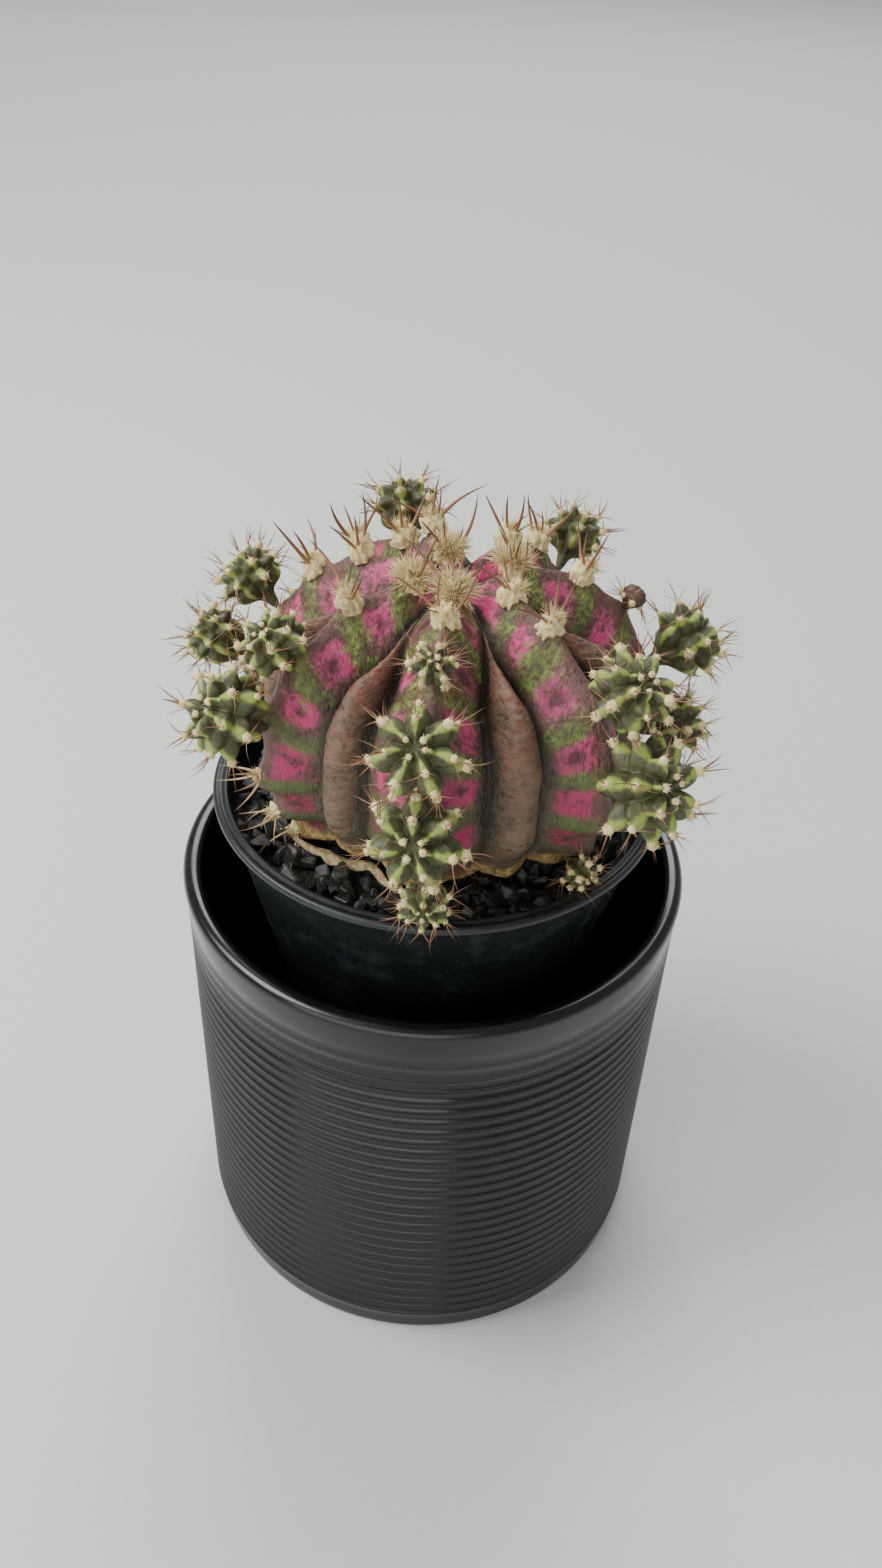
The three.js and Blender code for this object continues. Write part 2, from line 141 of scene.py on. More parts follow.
profile = [(0, FOOT_RECESS), (30, FOOT_RECESS), (FOOT_RING_INNER - 3, FOOT_RECESS)]
profile += [(FOOT_RING_INNER - 1.4, FOOT_RECESS - 0.2), (FOOT_RING_INNER - 0.6, 0.3)]
profile += [(FOOT_RING_INNER, 0), (FOOT_RING_OUTER, 0)]
band_radius = COVER_BODY_RADIUS - RIDGE_DEPTH
profile += arc(band_radius - FOOT_ROUND, FOOT_ROUND, FOOT_ROUND, -90, 0, 6)
profile += [(band_radius, 4), (band_radius, RIDGE_START - 1.6), (band_radius + 0.25, RIDGE_START - 0.8)]
for i in range(RIDGES - 1):
    depth = RIDGE_DEPTH * min((RIDGES - 1 - i) / SHALLOW_RIDGES, 1)
    for part in (0.02, 0.11, 0.25, 0.4, 0.5, 0.6, 0.75, 0.89, 0.98):
        hollow = 1 - (2 * part - 1) ** 2
        profile.append((COVER_BODY_RADIUS - depth * hollow, RIDGE_START + RIDGE_PITCH * (i + part)))
profile += [(COVER_BODY_RADIUS + 0.1, PLAIN_BAND_START)]
rim_level = COVER_HEIGHT - COVER_RIM_ROUND
profile += arc(COVER_RIM_RADIUS - COVER_RIM_ROUND, rim_level, COVER_RIM_ROUND, 0, 90, 8)
profile += arc(COVER_INNER_RADIUS + COVER_RIM_ROUND, rim_level, COVER_RIM_ROUND, 90, 180, 8)
profile += [(COVER_INNER_RADIUS, height) for height in (120, 90, 60, 30)]
floor_corner = (COVER_INNER_RADIUS - COVER_FLOOR_ROUND, COVER_FLOOR + COVER_FLOOR_ROUND)
profile += arc(*floor_corner, COVER_FLOOR_ROUND, 0, -90, 6)
profile += [(40, COVER_FLOOR), (0, COVER_FLOOR)]

# Satin black glaze over a dark stoneware body, cloudy in its sheen; the foot ring is wiped bare.
glaze, tree, shader, coords = new_material("satin black glaze", {"IOR": 1.5})
above_ground = add_node(tree, "ShaderNodeSeparateXYZ", "Z", {"Vector": coords})
clouds = add_node(tree, "ShaderNodeTexNoise", "Fac", {"Vector": coords, "Scale": pattern(14), "Detail": 5})
grain = add_node(tree, "ShaderNodeTexNoise", "Fac", {"Vector": coords, "Scale": pattern(0.9), "Detail": 3})
tone = add_node(
    tree, "ShaderNodeMix", BLEND,
    {SHARE: clouds, UNDER: linear("#050505"), OVER: linear("#0c0c0c")}, data_type="RGBA",
)
bare = add_node(
    tree, "ShaderNodeMapRange", "Result",
    {"Value": above_ground, "From Min": 0.15 * MM, "From Max": 0.5 * MM, "To Min": 1.0, "To Max": 0.0},
)
tone = add_node(
    tree, "ShaderNodeMix", BLEND, {SHARE: bare, UNDER: tone, OVER: linear("#5d544a")}, data_type="RGBA"
)
tree.links.new(tone, shader.inputs["Base Color"])
sheen = add_node(
    tree, "ShaderNodeMapRange", "Result",
    {"Value": clouds, "From Min": 0.3, "From Max": 0.7, "To Min": 0.16, "To Max": 0.3},
)
rough = add_node(tree, "ShaderNodeMix", "Result", {"Factor": bare, "A": sheen, "B": 0.85})
tree.links.new(rough, shader.inputs["Roughness"])
bump = add_node(tree, "ShaderNodeBump", "Normal", {"Strength": 0.12, "Distance": 0.05 * MM, "Height": grain})
tree.links.new(bump, shader.inputs["Normal"])
make_piece("cover_pot_glazed", turned(profile, TURNING_STEPS), [glaze], ["cover_pot"])

# Nursery pot. The thin injection-moulded polypropylene pot that the cactus grows in, with a wall that
# tapers in two stretches and a rolled lip with a shallow groove on top. It stands on the cover pot's floor.
NURSERY_RIM_LEVEL = 159
NURSERY_FLOOR_LEVEL = 6.3
NURSERY_WALL = 1.4
NURSERY_WALL_RADIUS = 57.7
TAPER_CHANGE = 62
UPPER_TAPER = 0.226
LOWER_TAPER = 0.085
NURSERY_FOOT_ROUND = 2


def nursery_radius(height):
    """The outside radius of the nursery pot's wall at a height, in millimetres."""
    depth = NURSERY_RIM_LEVEL - height
    upper, lower = min(depth, TAPER_CHANGE), max(depth - TAPER_CHANGE, 0)
    return NURSERY_WALL_RADIUS - upper * UPPER_TAPER - lower * LOWER_TAPER


foot_level = NURSERY_FLOOR_LEVEL + NURSERY_FOOT_ROUND
foot = nursery_radius(foot_level)
profile = [(0, NURSERY_FLOOR_LEVEL), (foot - 12, NURSERY_FLOOR_LEVEL)]
profile += arc(foot - NURSERY_FOOT_ROUND, foot_level, NURSERY_FOOT_ROUND, -90, 0, 5)
profile += [(nursery_radius(height), height) for height in range(12, 97, 6)]
profile += [(nursery_radius(height), height) for height in range(97, 156, 6)]

# the lip, rolled outwards over the top of the wall
profile += [(57.2, 156.1), (57.5, 156.5)]
profile += arc(59.1, 157.5, 0.9, -90, 0, 4)
profile += arc(59.0, 158.0, 1.0, 0, 100, 6)
profile += [(58.3, 158.7), (57.9, 158.62), (57.5, 158.7)]
profile += arc(56.8, 158.1, 0.9, 80, 180, 6)
profile += [(55.9, 157.4), (56.1, 156.4)]

profile += [(nursery_radius(height) - NURSERY_WALL, height) for height in range(154, 12, -6)]
profile += [(foot - NURSERY_WALL - 1, foot_level), (0, foot_level - 0.2)]
pot = turned(profile, TURNING_STEPS)

# Matte black polypropylene: finely textured mould surface, pale dust caught in faint streaks.
plastic, tree, shader, coords = new_material("moulded black polypropylene", {"IOR": 1.49})
dust = add_node(
    tree, "ShaderNodeTexNoise", "Fac",
    {"Vector": coords, "Scale": pattern(9), "Detail": 6, "Roughness": 0.65},
)
dust = add_node(tree, "ShaderNodeMapRange", "Result", {"Value": dust, "From Min": 0.5, "From Max": 0.75})
grain = add_node(tree, "ShaderNodeTexNoise", "Fac", {"Vector": coords, "Scale": pattern(0.5), "Detail": 2})
tone = add_node(
    tree, "ShaderNodeMix", BLEND,
    {SHARE: dust, UNDER: linear("#14181a"), OVER: linear("#262b2d")}, data_type="RGBA",
)
tree.links.new(tone, shader.inputs["Base Color"])
sheen = add_node(tree, "ShaderNodeMapRange", "Result", {"Value": dust, "To Min": 0.36, "To Max": 0.55})
tree.links.new(sheen, shader.inputs["Roughness"])
bump = add_node(tree, "ShaderNodeBump", "Normal", {"Strength": 0.3, "Distance": 0.05 * MM, "Height": grain})
tree.links.new(bump, shader.inputs["Normal"])
make_piece("nursery_pot_moulded", pot, [plastic], ["nursery_pot"])

# Potting mix. Peat and fine grit filling the nursery pot up to the gravel, kept as the CAD model has it:
# dark brown fibres with a few pale grains, only seen if the gravel is moved.
mix_soil, tree, shader, coords = new_material("peat and grit potting mix", {"IOR": 1.4, "Roughness": 0.95})
crumbs = add_node(tree, "ShaderNodeTexVoronoi", "Distance", {"Vector": coords, "Scale": pattern(2.2)})
fibre = add_node(tree, "ShaderNodeTexNoise", "Fac", {"Vector": coords, "Scale": pattern(3), "Detail": 6})
tone = add_node(
    tree, "ShaderNodeMix", BLEND,
    {SHARE: fibre, UNDER: linear("#1b140e"), OVER: linear("#43342a")}, data_type="RGBA",
)
tree.links.new(tone, shader.inputs["Base Color"])
bump = add_node(tree, "ShaderNodeBump", "Normal", {"Strength": 0.8, "Distance": 0.8 * MM, "Height": crumbs})
tree.links.new(bump, shader.inputs["Normal"])
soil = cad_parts["potting_mix"]
soil.data.materials.clear()
soil.data.materials.append(mix_soil)

# Lava gravel. Broken black scoria, 4 to 8 mm, poured loose over the potting mix round the plant, which
# stands a little off the pot's middle: a lumpy bed underneath and single angular stones on it, each a
# small block split along flat faces with slightly worn edges.
PLANT_X, PLANT_Y = 2.8, -1.1
GRAVEL_UNDERSIDE = 141.6
GRAVEL_BED_LEVEL = 150.6
GRAVEL_GAP = 0.3
STONE_SHAPES = 14
STONE_SIZES = (4.6, 5.4, 6.2, 7.2, 8.4)
STONE_SPACING = 4.6
STONE_SCATTER = 1.3
UNDER_PLANT = 33
UPPER_LAYER_LEFT_OUT = 0.62
random.seed(11)

profile = [(0, GRAVEL_UNDERSIDE)]
profile += [(nursery_radius(GRAVEL_UNDERSIDE) - NURSERY_WALL - GRAVEL_GAP, GRAVEL_UNDERSIDE)]
profile += [(nursery_radius(GRAVEL_BED_LEVEL) - NURSERY_WALL - GRAVEL_GAP, GRAVEL_BED_LEVEL - 1)]
profile += [(radius, GRAVEL_BED_LEVEL) for radius in range(52, -1, -2)]
bed = turned(profile, 120)
for vert in bed.verts:
    if vert.co.z > (GRAVEL_BED_LEVEL - 0.5) * MM:
        vert.co.z += noise.noise(vert.co / (3.5 * MM)) * 1.6 * MM

stone_shapes = []
for i in range(STONE_SHAPES):
    bm = bmesh.new()
    for k in range(11):
        way = Vector([random.gauss(0, 1) for axis in range(3)]).normalized()
        bm.verts.new((way.x * 0.62, way.y * 0.5, way.z * 0.4))
    hull = bmesh.ops.convex_hull(bm, input=bm.verts)
    bmesh.ops.delete(bm, geom=hull["geom_interior"], context="VERTS")
    bmesh.ops.bevel(
        bm, geom=bm.edges[:], offset=0.035, segments=1, profile=0.5, affect="EDGES", material=-1
    )
    shape = bpy.data.meshes.new(f"stone_{i}")
    bm.to_mesh(shape)
    bm.free()
    stone_shapes.append(shape)


def place(bm, template, matrix):
    """Adds a copy of a template mesh to a bmesh."""
    copy = template.copy()
    copy.transform(matrix)
    bm.from_mesh(copy)
    bpy.data.meshes.remove(copy)


def random_turn():
    """A random rotation."""
    axis = Vector([random.gauss(0, 1) for k in range(3)]).normalized()
    return Matrix.Rotation(random.uniform(0, math.tau), 4, axis)


for layer, lift in enumerate((0, 2.4)):
    for column in range(-13, 14):
        for row in range(-14, 15):
            x = (column + 0.5 * (row % 2)) * STONE_SPACING + random.uniform(-STONE_SCATTER, STONE_SCATTER)
            y = row * STONE_SPACING * 0.87 + random.uniform(-STONE_SCATTER, STONE_SCATTER)
            size = random.choice(STONE_SIZES)
            height = GRAVEL_BED_LEVEL + 1.4 + lift + random.uniform(-0.8, 0.9)
            reach = nursery_radius(height) - NURSERY_WALL - size * 0.5
            if math.hypot(x, y) > reach or math.hypot(x - PLANT_X, y - PLANT_Y) < UNDER_PLANT:
                continue
            if layer and random.random() < UPPER_LAYER_LEFT_OUT:
                continue
            spin = random_turn() @ Matrix.Scale(size * MM, 4)
            spot = Matrix.Translation(Vector((x, y, height)) * MM)
            place(bed, random.choice(stone_shapes), spot @ spin)

# Broken black scoria: near-black faces, a little lighter on some stones, with grey pores that take their
# shine off.
scoria, tree, shader, coords = new_material("broken black scoria", {"IOR": 1.5})
patches = add_node(tree, "ShaderNodeTexVoronoi", "Color", {"Vector": coords, "Scale": pattern(6)})
shade = add_node(tree, "ShaderNodeSeparateColor", "Red", {"Color": patches})
pores = add_node(
    tree, "ShaderNodeTexNoise", "Fac",
    {"Vector": coords, "Scale": pattern(0.9), "Detail": 5, "Roughness": 0.7},
)
tone = add_node(
    tree, "ShaderNodeMix", BLEND,
    {SHARE: shade, UNDER: linear("#141413"), OVER: linear("#2d2c29")}, data_type="RGBA",
)
pits = add_node(tree, "ShaderNodeMapRange", "Result", {"Value": pores, "From Min": 0.4, "From Max": 0.7})
tone = add_node(
    tree, "ShaderNodeMix", BLEND, {SHARE: pits, UNDER: tone, OVER: linear("#41403b")}, data_type="RGBA"
)
tree.links.new(tone, shader.inputs["Base Color"])
sheen = add_node(
    tree, "ShaderNodeMapRange", "Result",
    {"Value": pores, "From Min": 0.35, "From Max": 0.65, "To Min": 0.16, "To Max": 0.5},
)
tree.links.new(sheen, shader.inputs["Roughness"])
bump = add_node(tree, "ShaderNodeBump", "Normal", {"Strength": 0.6, "Distance": 0.3 * MM, "Height": pores})
tree.links.new(bump, shader.inputs["Normal"])
make_piece("lava_gravel_stones", bed, [scoria], ["lava_gravel"], smooth=False)

# Mother plant. One grown body: a squat globe with eight broad ribs that plunge to the woolly crown, sharp
# creases beside them, swollen folds between them lower down, and a chin under every areole.
WIDEST_LEVEL = 181.8
PLANT_RADIUS = 51.8
RISE, DROP = 41.7, 38.5
SQUARENESS = 2.29
CROWN_DIP, CROWN_DIP_RADIUS = 7, 12
COLLAR_FALL = 127
ROOT_LENGTH, ROOT_TIP, ROOT_TOP = 30, 3, 14

# each rib's name, azimuth, areoles in degrees down from the crown, and the two creases of the gap after
# it, as shares of that gap
RIBS = [
    ("left_front", -150, (11, 30, 53, 74, 95, 112, 126), (0.31, 0.61)),
    ("front", -96, (9, 23, 41, 64, 85, 105), (0.35, 0.7)),
    ("right_front", -43, (16, 31, 58, 80, 97, 115), (0.36, 0.64)),
    ("right", 14, (12, 33, 53, 80, 99), (0.36, 0.64)),
    ("right_back", 56, (21, 41, 62, 92), (0.36, 0.64)),
    ("back", 103, (9, 33, 52, 84, 104), (0.36, 0.64)),
    ("left_back", 132, (20, 46, 66, 86, 104), (0.36, 0.64)),
    ("left", 160, (26, 44, 66, 84, 101), (0.36, 0.64)),
]


def smooth(low, high, value):
    """0 below low, 1 above high, eased between."""
    t = min(max((value - low) / (high - low), 0), 1)
    return t * t * (3 - 2 * t)


def crest(azimuth, fall, out=0.0):
    """The point and the outward normal on the plant's envelope, fall in degrees down from the crown."""
    angle = math.radians(fall)
    rise = RISE if fall < 90 else DROP
    sine, cosine = math.sin(angle), math.cos(angle)
    steep = Vector((sine * rise, cosine * PLANT_RADIUS)).normalized()
    radius = PLANT_RADIUS * max(sine, 0) ** (2 / SQUARENESS)
    level = WIDEST_LEVEL + math.copysign(rise * abs(cosine) ** (2 / SQUARENESS), cosine)
    if fall < 90:
        level -= CROWN_DIP * math.exp(-((radius / CROWN_DIP_RADIUS) ** 2))
    turn = math.radians(azimuth)
    outward = Vector((math.cos(turn) * steep.x, math.sin(turn) * steep.x, steep.y))
    point = Vector((PLANT_X + math.cos(turn) * radius, PLANT_Y + math.sin(turn) * radius, level))
    return point + outward * out, outward


def between_ribs(azimuth):
    """The areole places of the ribs before and after, the share of the gap passed, and its creases."""
    for i, (_, start, places, creases) in enumerate(RIBS):
        following = RIBS[(i + 1) % len(RIBS)]
        gap = (following[1] - start) % 360
        part = ((azimuth - start) % 360) / gap
        if part <= 1:
            return places, following[2], part, creases
    return RIBS[0][2], RIBS[0][2], 0.0, RIBS[0][3]


def groove(azimuth, fall):
    """The nearer rib's areole places, the groove's depth, and how far across the skin lies: 0 on the
    crest, 1 in the crease, 2 on the middle of the fold."""
    near, far, part, creases = between_ribs(azimuth)
    grow = smooth(14, 52, fall)
    valley = sum(creases) / 2
    first = valley + (creases[0] - valley) * grow
    second = valley + (creases[1] - valley) * grow
    depth = 10 + 8 * math.exp(-(((fall - 38) / 18) ** 2))
    depth *= max(math.sin(math.radians(fall)), 0) ** 0.5 * (1 - 0.4 * smooth(92, 128, fall))
    flare = 1.15 + 0.2 * smooth(30, 70, fall)
    if part <= first:
        return near, depth * (part / first) ** flare, part / first
    if part >= second:
        return far, depth * ((1 - part) / (1 - second)) ** flare, (1 - part) / (1 - second)
    fold = (part - first) / (second - first)
    places = near if fold < 0.5 else far
    swell = grow * (0.66 - 0.2 * smooth(98, 122, fall)) * math.sin(fold * math.pi) ** 0.8
    return places, depth * (1 - swell), 1 + 2 * min(fold, 1 - fold)


def grown(azimuth, fall):
    """A point of the mother plant's skin, its outward normal, and the marks for its material."""
    places, depth, across = groove(azimuth, fall)
    slant = fall - 8 * min(across, 1) * (1 - smooth(60, 100, fall))
    chin, band, heart = 0.0, 0.0, 0.0
    for i, spot in enumerate(places):
        gap = places[i + 1] - spot if i + 1 < len(places) else 17
        band = max(band, math.exp(-(((slant - spot - 0.1 * gap) / (0.24 * gap)) ** 2)))
        heart = max(heart, math.exp(-(((slant - spot - 0.6 * gap) / (0.15 * gap)) ** 2)))
        size = 0.9 + 1.9 * smooth(70, 100, spot)
        chin += size * math.exp(-(((slant - spot - 1.5) / 4.6) ** 2))
        chin -= 0.5 * size * math.exp(-(((slant - spot - 0.6 * gap) / 4) ** 2))
    heart *= math.exp(-(((across - 0.5) / 0.2) ** 2))
    chin *= math.exp(-((across / 0.55) ** 2)) * smooth(5, 16, fall)
    on_envelope, outward = crest(azimuth, fall)
    rough_skin = noise.noise(on_envelope / 9) * 0.8 + noise.noise(on_envelope / 3.5) * 0.22
    rough_skin += 0.5 * smooth(1.2, 1.7, across) * noise.noise(Vector((azimuth / 9, fall / 3.2, 4)))
    waves = 1 + 0.6 * noise.noise(Vector((azimuth / 14, 3, 8)))
    collar = 2.6 * math.exp(-(((fall - COLLAR_FALL) / 5) ** 2)) * waves - 2 * smooth(105, 125, fall)
    point = on_envelope + outward * (chin - depth + collar + rough_skin * smooth(2, 12, fall))
    return point, outward, {"across": across, "fall": fall, "band": band, "heart": heart}


def ball(around, down):
    """A unit ball from a grid wrapped round it, that many faces around and down, closed at its seam."""
    bm = bmesh.new()
    bmesh.ops.create_grid(bm, x_segments=around, y_segments=down, size=1)
    for vert in bm.verts:
        turn, fall = math.pi * vert.co.x, math.pi / 2 * (1 - vert.co.y)
        vert.co = (math.sin(fall) * math.cos(turn), math.sin(fall) * math.sin(turn), math.cos(fall))
    bmesh.ops.remove_doubles(bm, verts=bm.verts, dist=0.00001)
    return bm


mother = ball(400, 220)
marks = {"across": [], "fall": [], "band": [], "heart": []}
for vert in mother.verts:
    fall = math.degrees(math.acos(max(-1, min(1, vert.co.z))))
    point, outward, found = grown(math.degrees(math.atan2(vert.co.y, vert.co.x)), fall)
    vert.co = point * MM
    for key, value in found.items():
        marks[key].append(value)

# the taproot, a plain cone down into the potting mix
bmesh.ops.create_cone(
    mother, segments=32, radius1=ROOT_TIP * MM, radius2=ROOT_TOP * MM, depth=ROOT_LENGTH * MM,
    cap_ends=True, matrix=Matrix.Translation(Vector((PLANT_X, PLANT_Y, WIDEST_LEVEL - DROP - 12)) * MM),
)
for values in marks.values():
    values += [0.0] * (len(mother.verts) - len(values))

# Live cactus skin, variegated: magenta patches with brown blotches between mottled green bands, dusty mauve
# crests, grey-green beside the creases, painted shade near black in the creases and near-black brown beside
# the upper creases, brown folds, corky tan collar where the body meets the gravel.
skin, tree, shader, coords = new_material(
    "variegated cactus skin", {"IOR": 1.42, "Subsurface Weight": 0.06, "Subsurface Scale": 1.5 * MM}
)
across = add_node(tree, "ShaderNodeAttribute", "Fac", {}, attribute_name="across")
fall = add_node(tree, "ShaderNodeAttribute", "Fac", {}, attribute_name="fall")
band = add_node(tree, "ShaderNodeAttribute", "Fac", {}, attribute_name="band")
heart = add_node(tree, "ShaderNodeAttribute", "Fac", {}, attribute_name="heart")
broad = add_node(
    tree, "ShaderNodeTexNoise", "Fac",
    {"Vector": coords, "Scale": pattern(13), "Detail": 4, "Roughness": 0.6},
)
blotch = add_node(
    tree, "ShaderNodeTexNoise", "Fac",
    {"Vector": coords, "Scale": pattern(5), "Detail": 5, "Roughness": 0.65},
)
fine = add_node(
    tree, "ShaderNodeTexNoise", "Fac",
    {"Vector": coords, "Scale": pattern(1.3), "Detail": 4, "Roughness": 0.7},
)

# dull brown-mauve ground with fine darker flecks
mottle = add_node(tree, "ShaderNodeMapRange", "Result", {"Value": fine, "From Min": 0.36, "From Max": 0.64})
spread = add_node(
    tree, "ShaderNodeMapRange", "Result", {"Value": blotch, "From Min": 0.36, "From Max": 0.62}
)
low = add_node(tree, "ShaderNodeMapRange", "Result", {"Value": fall, "From Min": 50, "From Max": 112})
ground = add_node(
    tree, "ShaderNodeMix", BLEND,
    {SHARE: spread, UNDER: linear("#4a332a"), OVER: linear("#75504a")}, data_type="RGBA",
)
ground = add_node(
    tree, "ShaderNodeMix", BLEND, {SHARE: mottle, UNDER: ground, OVER: linear("#6e4f48")}, data_type="RGBA"
)

# magenta patches half way down the flanks, between the bands, breaking up into specks at their edges
ragged = add_node(
    tree, "ShaderNodeMapRange", "Result",
    {"Value": blotch, "From Min": 0.3, "From Max": 0.7, "To Min": -0.5, "To Max": 0.5},
)
specks = add_node(
    tree, "ShaderNodeMapRange", "Result",
    {"Value": fine, "From Min": 0.3, "From Max": 0.7, "To Min": -0.35, "To Max": 0.35},
)
ragged = add_node(tree, "ShaderNodeMath", "Value", {0: ragged, 1: specks}, operation="ADD")
wide = add_node(
    tree, "ShaderNodeMapRange", "Result",
    {"Value": broad, "From Min": 0.35, "From Max": 0.65, "To Min": -0.35, "To Max": 0.35},
)
inner = add_node(
    tree, "ShaderNodeMapRange", "Result",
    {"Value": across, "From Min": 0.0, "From Max": 0.36}, interpolation_type="SMOOTHSTEP",
)
outer = add_node(
    tree, "ShaderNodeMapRange", "Result",
    {"Value": across, "From Min": 0.98, "From Max": 0.6}, interpolation_type="SMOOTHSTEP",
)
patch = add_node(tree, "ShaderNodeMath", "Value", {0: inner, 1: outer}, operation="MULTIPLY")
gaps = add_node(tree, "ShaderNodeMath", "Value", {0: 1.0, 1: band}, operation="SUBTRACT")
patch = add_node(tree, "ShaderNodeMath", "Value", {0: patch, 1: gaps}, operation="MULTIPLY")
patch = add_node(tree, "ShaderNodeMath", "Value", {0: patch, 1: ragged}, operation="ADD")
patch = add_node(tree, "ShaderNodeMath", "Value", {0: patch, 1: wide}, operation="ADD")
patch = add_node(
    tree, "ShaderNodeMapRange", "Result",
    {"Value": patch, "From Min": 0.36, "From Max": 1.1}, interpolation_type="SMOOTHSTEP",
)
bright = add_node(
    tree, "ShaderNodeMapRange", "Result",
    {"Value": broad, "From Min": 0.42, "From Max": 0.6}, interpolation_type="SMOOTHSTEP",
)
pink = add_node(
    tree, "ShaderNodeMix", BLEND,
    {SHARE: bright, UNDER: linear("#93365a"), OVER: linear("#d83c80")}, data_type="RGBA",
)
pink = add_node(
    tree, "ShaderNodeMix", BLEND, {SHARE: mottle, UNDER: pink, OVER: linear("#c2567f")}, data_type="RGBA"
)
pink = add_node(
    tree, "ShaderNodeMix", BLEND, {SHARE: low, UNDER: pink, OVER: linear("#992a50")}, data_type="RGBA"
)
tone = add_node(tree, "ShaderNodeMix", BLEND, {SHARE: patch, UNDER: ground, OVER: pink}, data_type="RGBA")

# a dark olive blotch at the heart of most patches
spot = add_node(tree, "ShaderNodeMath", "Value", {0: heart, 1: ragged}, operation="ADD")
spot = add_node(tree, "ShaderNodeMath", "Value", {0: spot, 1: wide}, operation="SUBTRACT")
spot = add_node(
    tree, "ShaderNodeMapRange", "Result",
    {"Value": spot, "From Min": 0.45, "From Max": 1.1, "To Min": 0.0, "To Max": 0.8},
    interpolation_type="SMOOTHSTEP",
)
tone = add_node(
    tree, "ShaderNodeMix", BLEND, {SHARE: spot, UNDER: tone, OVER: linear("#36291f")}, data_type="RGBA"
)

# green of the bands, mottled yellow-green and dark olive, darker low down
green = add_node(
    tree, "ShaderNodeMix", BLEND,
    {SHARE: mottle, UNDER: linear("#4a5230"), OVER: linear("#8f9d4e")}, data_type="RGBA",
)
green = add_node(
    tree, "ShaderNodeMix", BLEND, {SHARE: spread, UNDER: linear("#48452f"), OVER: green}, data_type="RGBA"
)
green = add_node(
    tree, "ShaderNodeMix", BLEND, {SHARE: low, UNDER: green, OVER: linear("#4d5934")}, data_type="RGBA"
)
banded = add_node(tree, "ShaderNodeMath", "Value", {0: band, 1: ragged}, operation="ADD")
banded = add_node(
    tree, "ShaderNodeMapRange", "Result",
    {"Value": banded, "From Min": 0.35, "From Max": 0.95}, interpolation_type="SMOOTHSTEP",
)
tone = add_node(tree, "ShaderNodeMix", BLEND, {SHARE: banded, UNDER: tone, OVER: green}, data_type="RGBA")

# dusty mauve on the crests
worn = add_node(
    tree, "ShaderNodeMapRange", "Result",
    {"Value": across, "From Min": 0.3, "From Max": 0.02, "To Min": 0.0, "To Max": 0.62},
)
dust = add_node(
    tree, "ShaderNodeMix", BLEND,
    {SHARE: mottle, UNDER: linear("#54403a"), OVER: linear("#785852")}, data_type="RGBA",
)
tone = add_node(tree, "ShaderNodeMix", BLEND, {SHARE: worn, UNDER: tone, OVER: dust}, data_type="RGBA")

# grey-green lower flanks, near-black brown painted shade beside the upper creases, then the brown folds with
# grey-green edges, and painted shade near black in the creases
wander = add_node(
    tree, "ShaderNodeMapRange", "Result",
    {"Value": broad, "From Min": 0.3, "From Max": 0.7, "To Min": -0.12, "To Max": 0.12},
)
moved = add_node(tree, "ShaderNodeMath", "Value", {0: across, 1: wander}, operation="ADD")
beside_crease = add_node(
    tree, "ShaderNodeMapRange", "Result",
    {"Value": moved, "From Min": 0.7, "From Max": 1.0}, interpolation_type="SMOOTHSTEP",
)
grey_and_painted_shade = add_node(
    tree, "ShaderNodeMix", BLEND,
    {SHARE: mottle, UNDER: linear("#4b463a"), OVER: linear("#696656")}, data_type="RGBA",
)
# painted shade: high up beside the deep creases by the crown, the grey-green turns near-black brown
grey_and_painted_shade = add_node(
    tree, "ShaderNodeMix", BLEND, {SHARE: low, UNDER: linear("#33261f"), OVER: grey_and_painted_shade}, data_type="RGBA"
)
tone = add_node(tree, "ShaderNodeMix", BLEND, {SHARE: beside_crease, UNDER: tone, OVER: grey_and_painted_shade}, data_type="RGBA")
fold = add_node(
    tree, "ShaderNodeMix", BLEND,
    {SHARE: low, UNDER: linear("#84463f"), OVER: linear("#71664f")}, data_type="RGBA",
)
fold = add_node(
    tree, "ShaderNodeMix", BLEND, {SHARE: spread, UNDER: linear("#43382b"), OVER: fold}, data_type="RGBA"
)
fold = add_node(
    tree, "ShaderNodeMix", BLEND, {SHARE: mottle, UNDER: fold, OVER: linear("#75624e")}, data_type="RGBA"
)
folded = add_node(
    tree, "ShaderNodeMapRange", "Result",
    {"Value": moved, "From Min": 1.12, "From Max": 1.5}, interpolation_type="SMOOTHSTEP",
)
tone = add_node(tree, "ShaderNodeMix", BLEND, {SHARE: folded, UNDER: tone, OVER: fold}, data_type="RGBA")
# painted shade: the skin darkened to near black along the creases, where shade falls
crease = add_node(tree, "ShaderNodeMath", "Value", {0: across, 1: 1.0}, operation="SUBTRACT")
crease = add_node(tree, "ShaderNodeMath", "Value", {0: crease}, operation="ABSOLUTE")
crease = add_node(
    tree, "ShaderNodeMapRange", "Result",
    {"Value": crease, "From Min": 0.0, "From Max": 0.13, "To Min": 0.8, "To Max": 0.0},
)
tone = add_node(
    tree, "ShaderNodeMix", BLEND, {SHARE: crease, UNDER: tone, OVER: linear("#241d18")}, data_type="RGBA"
)

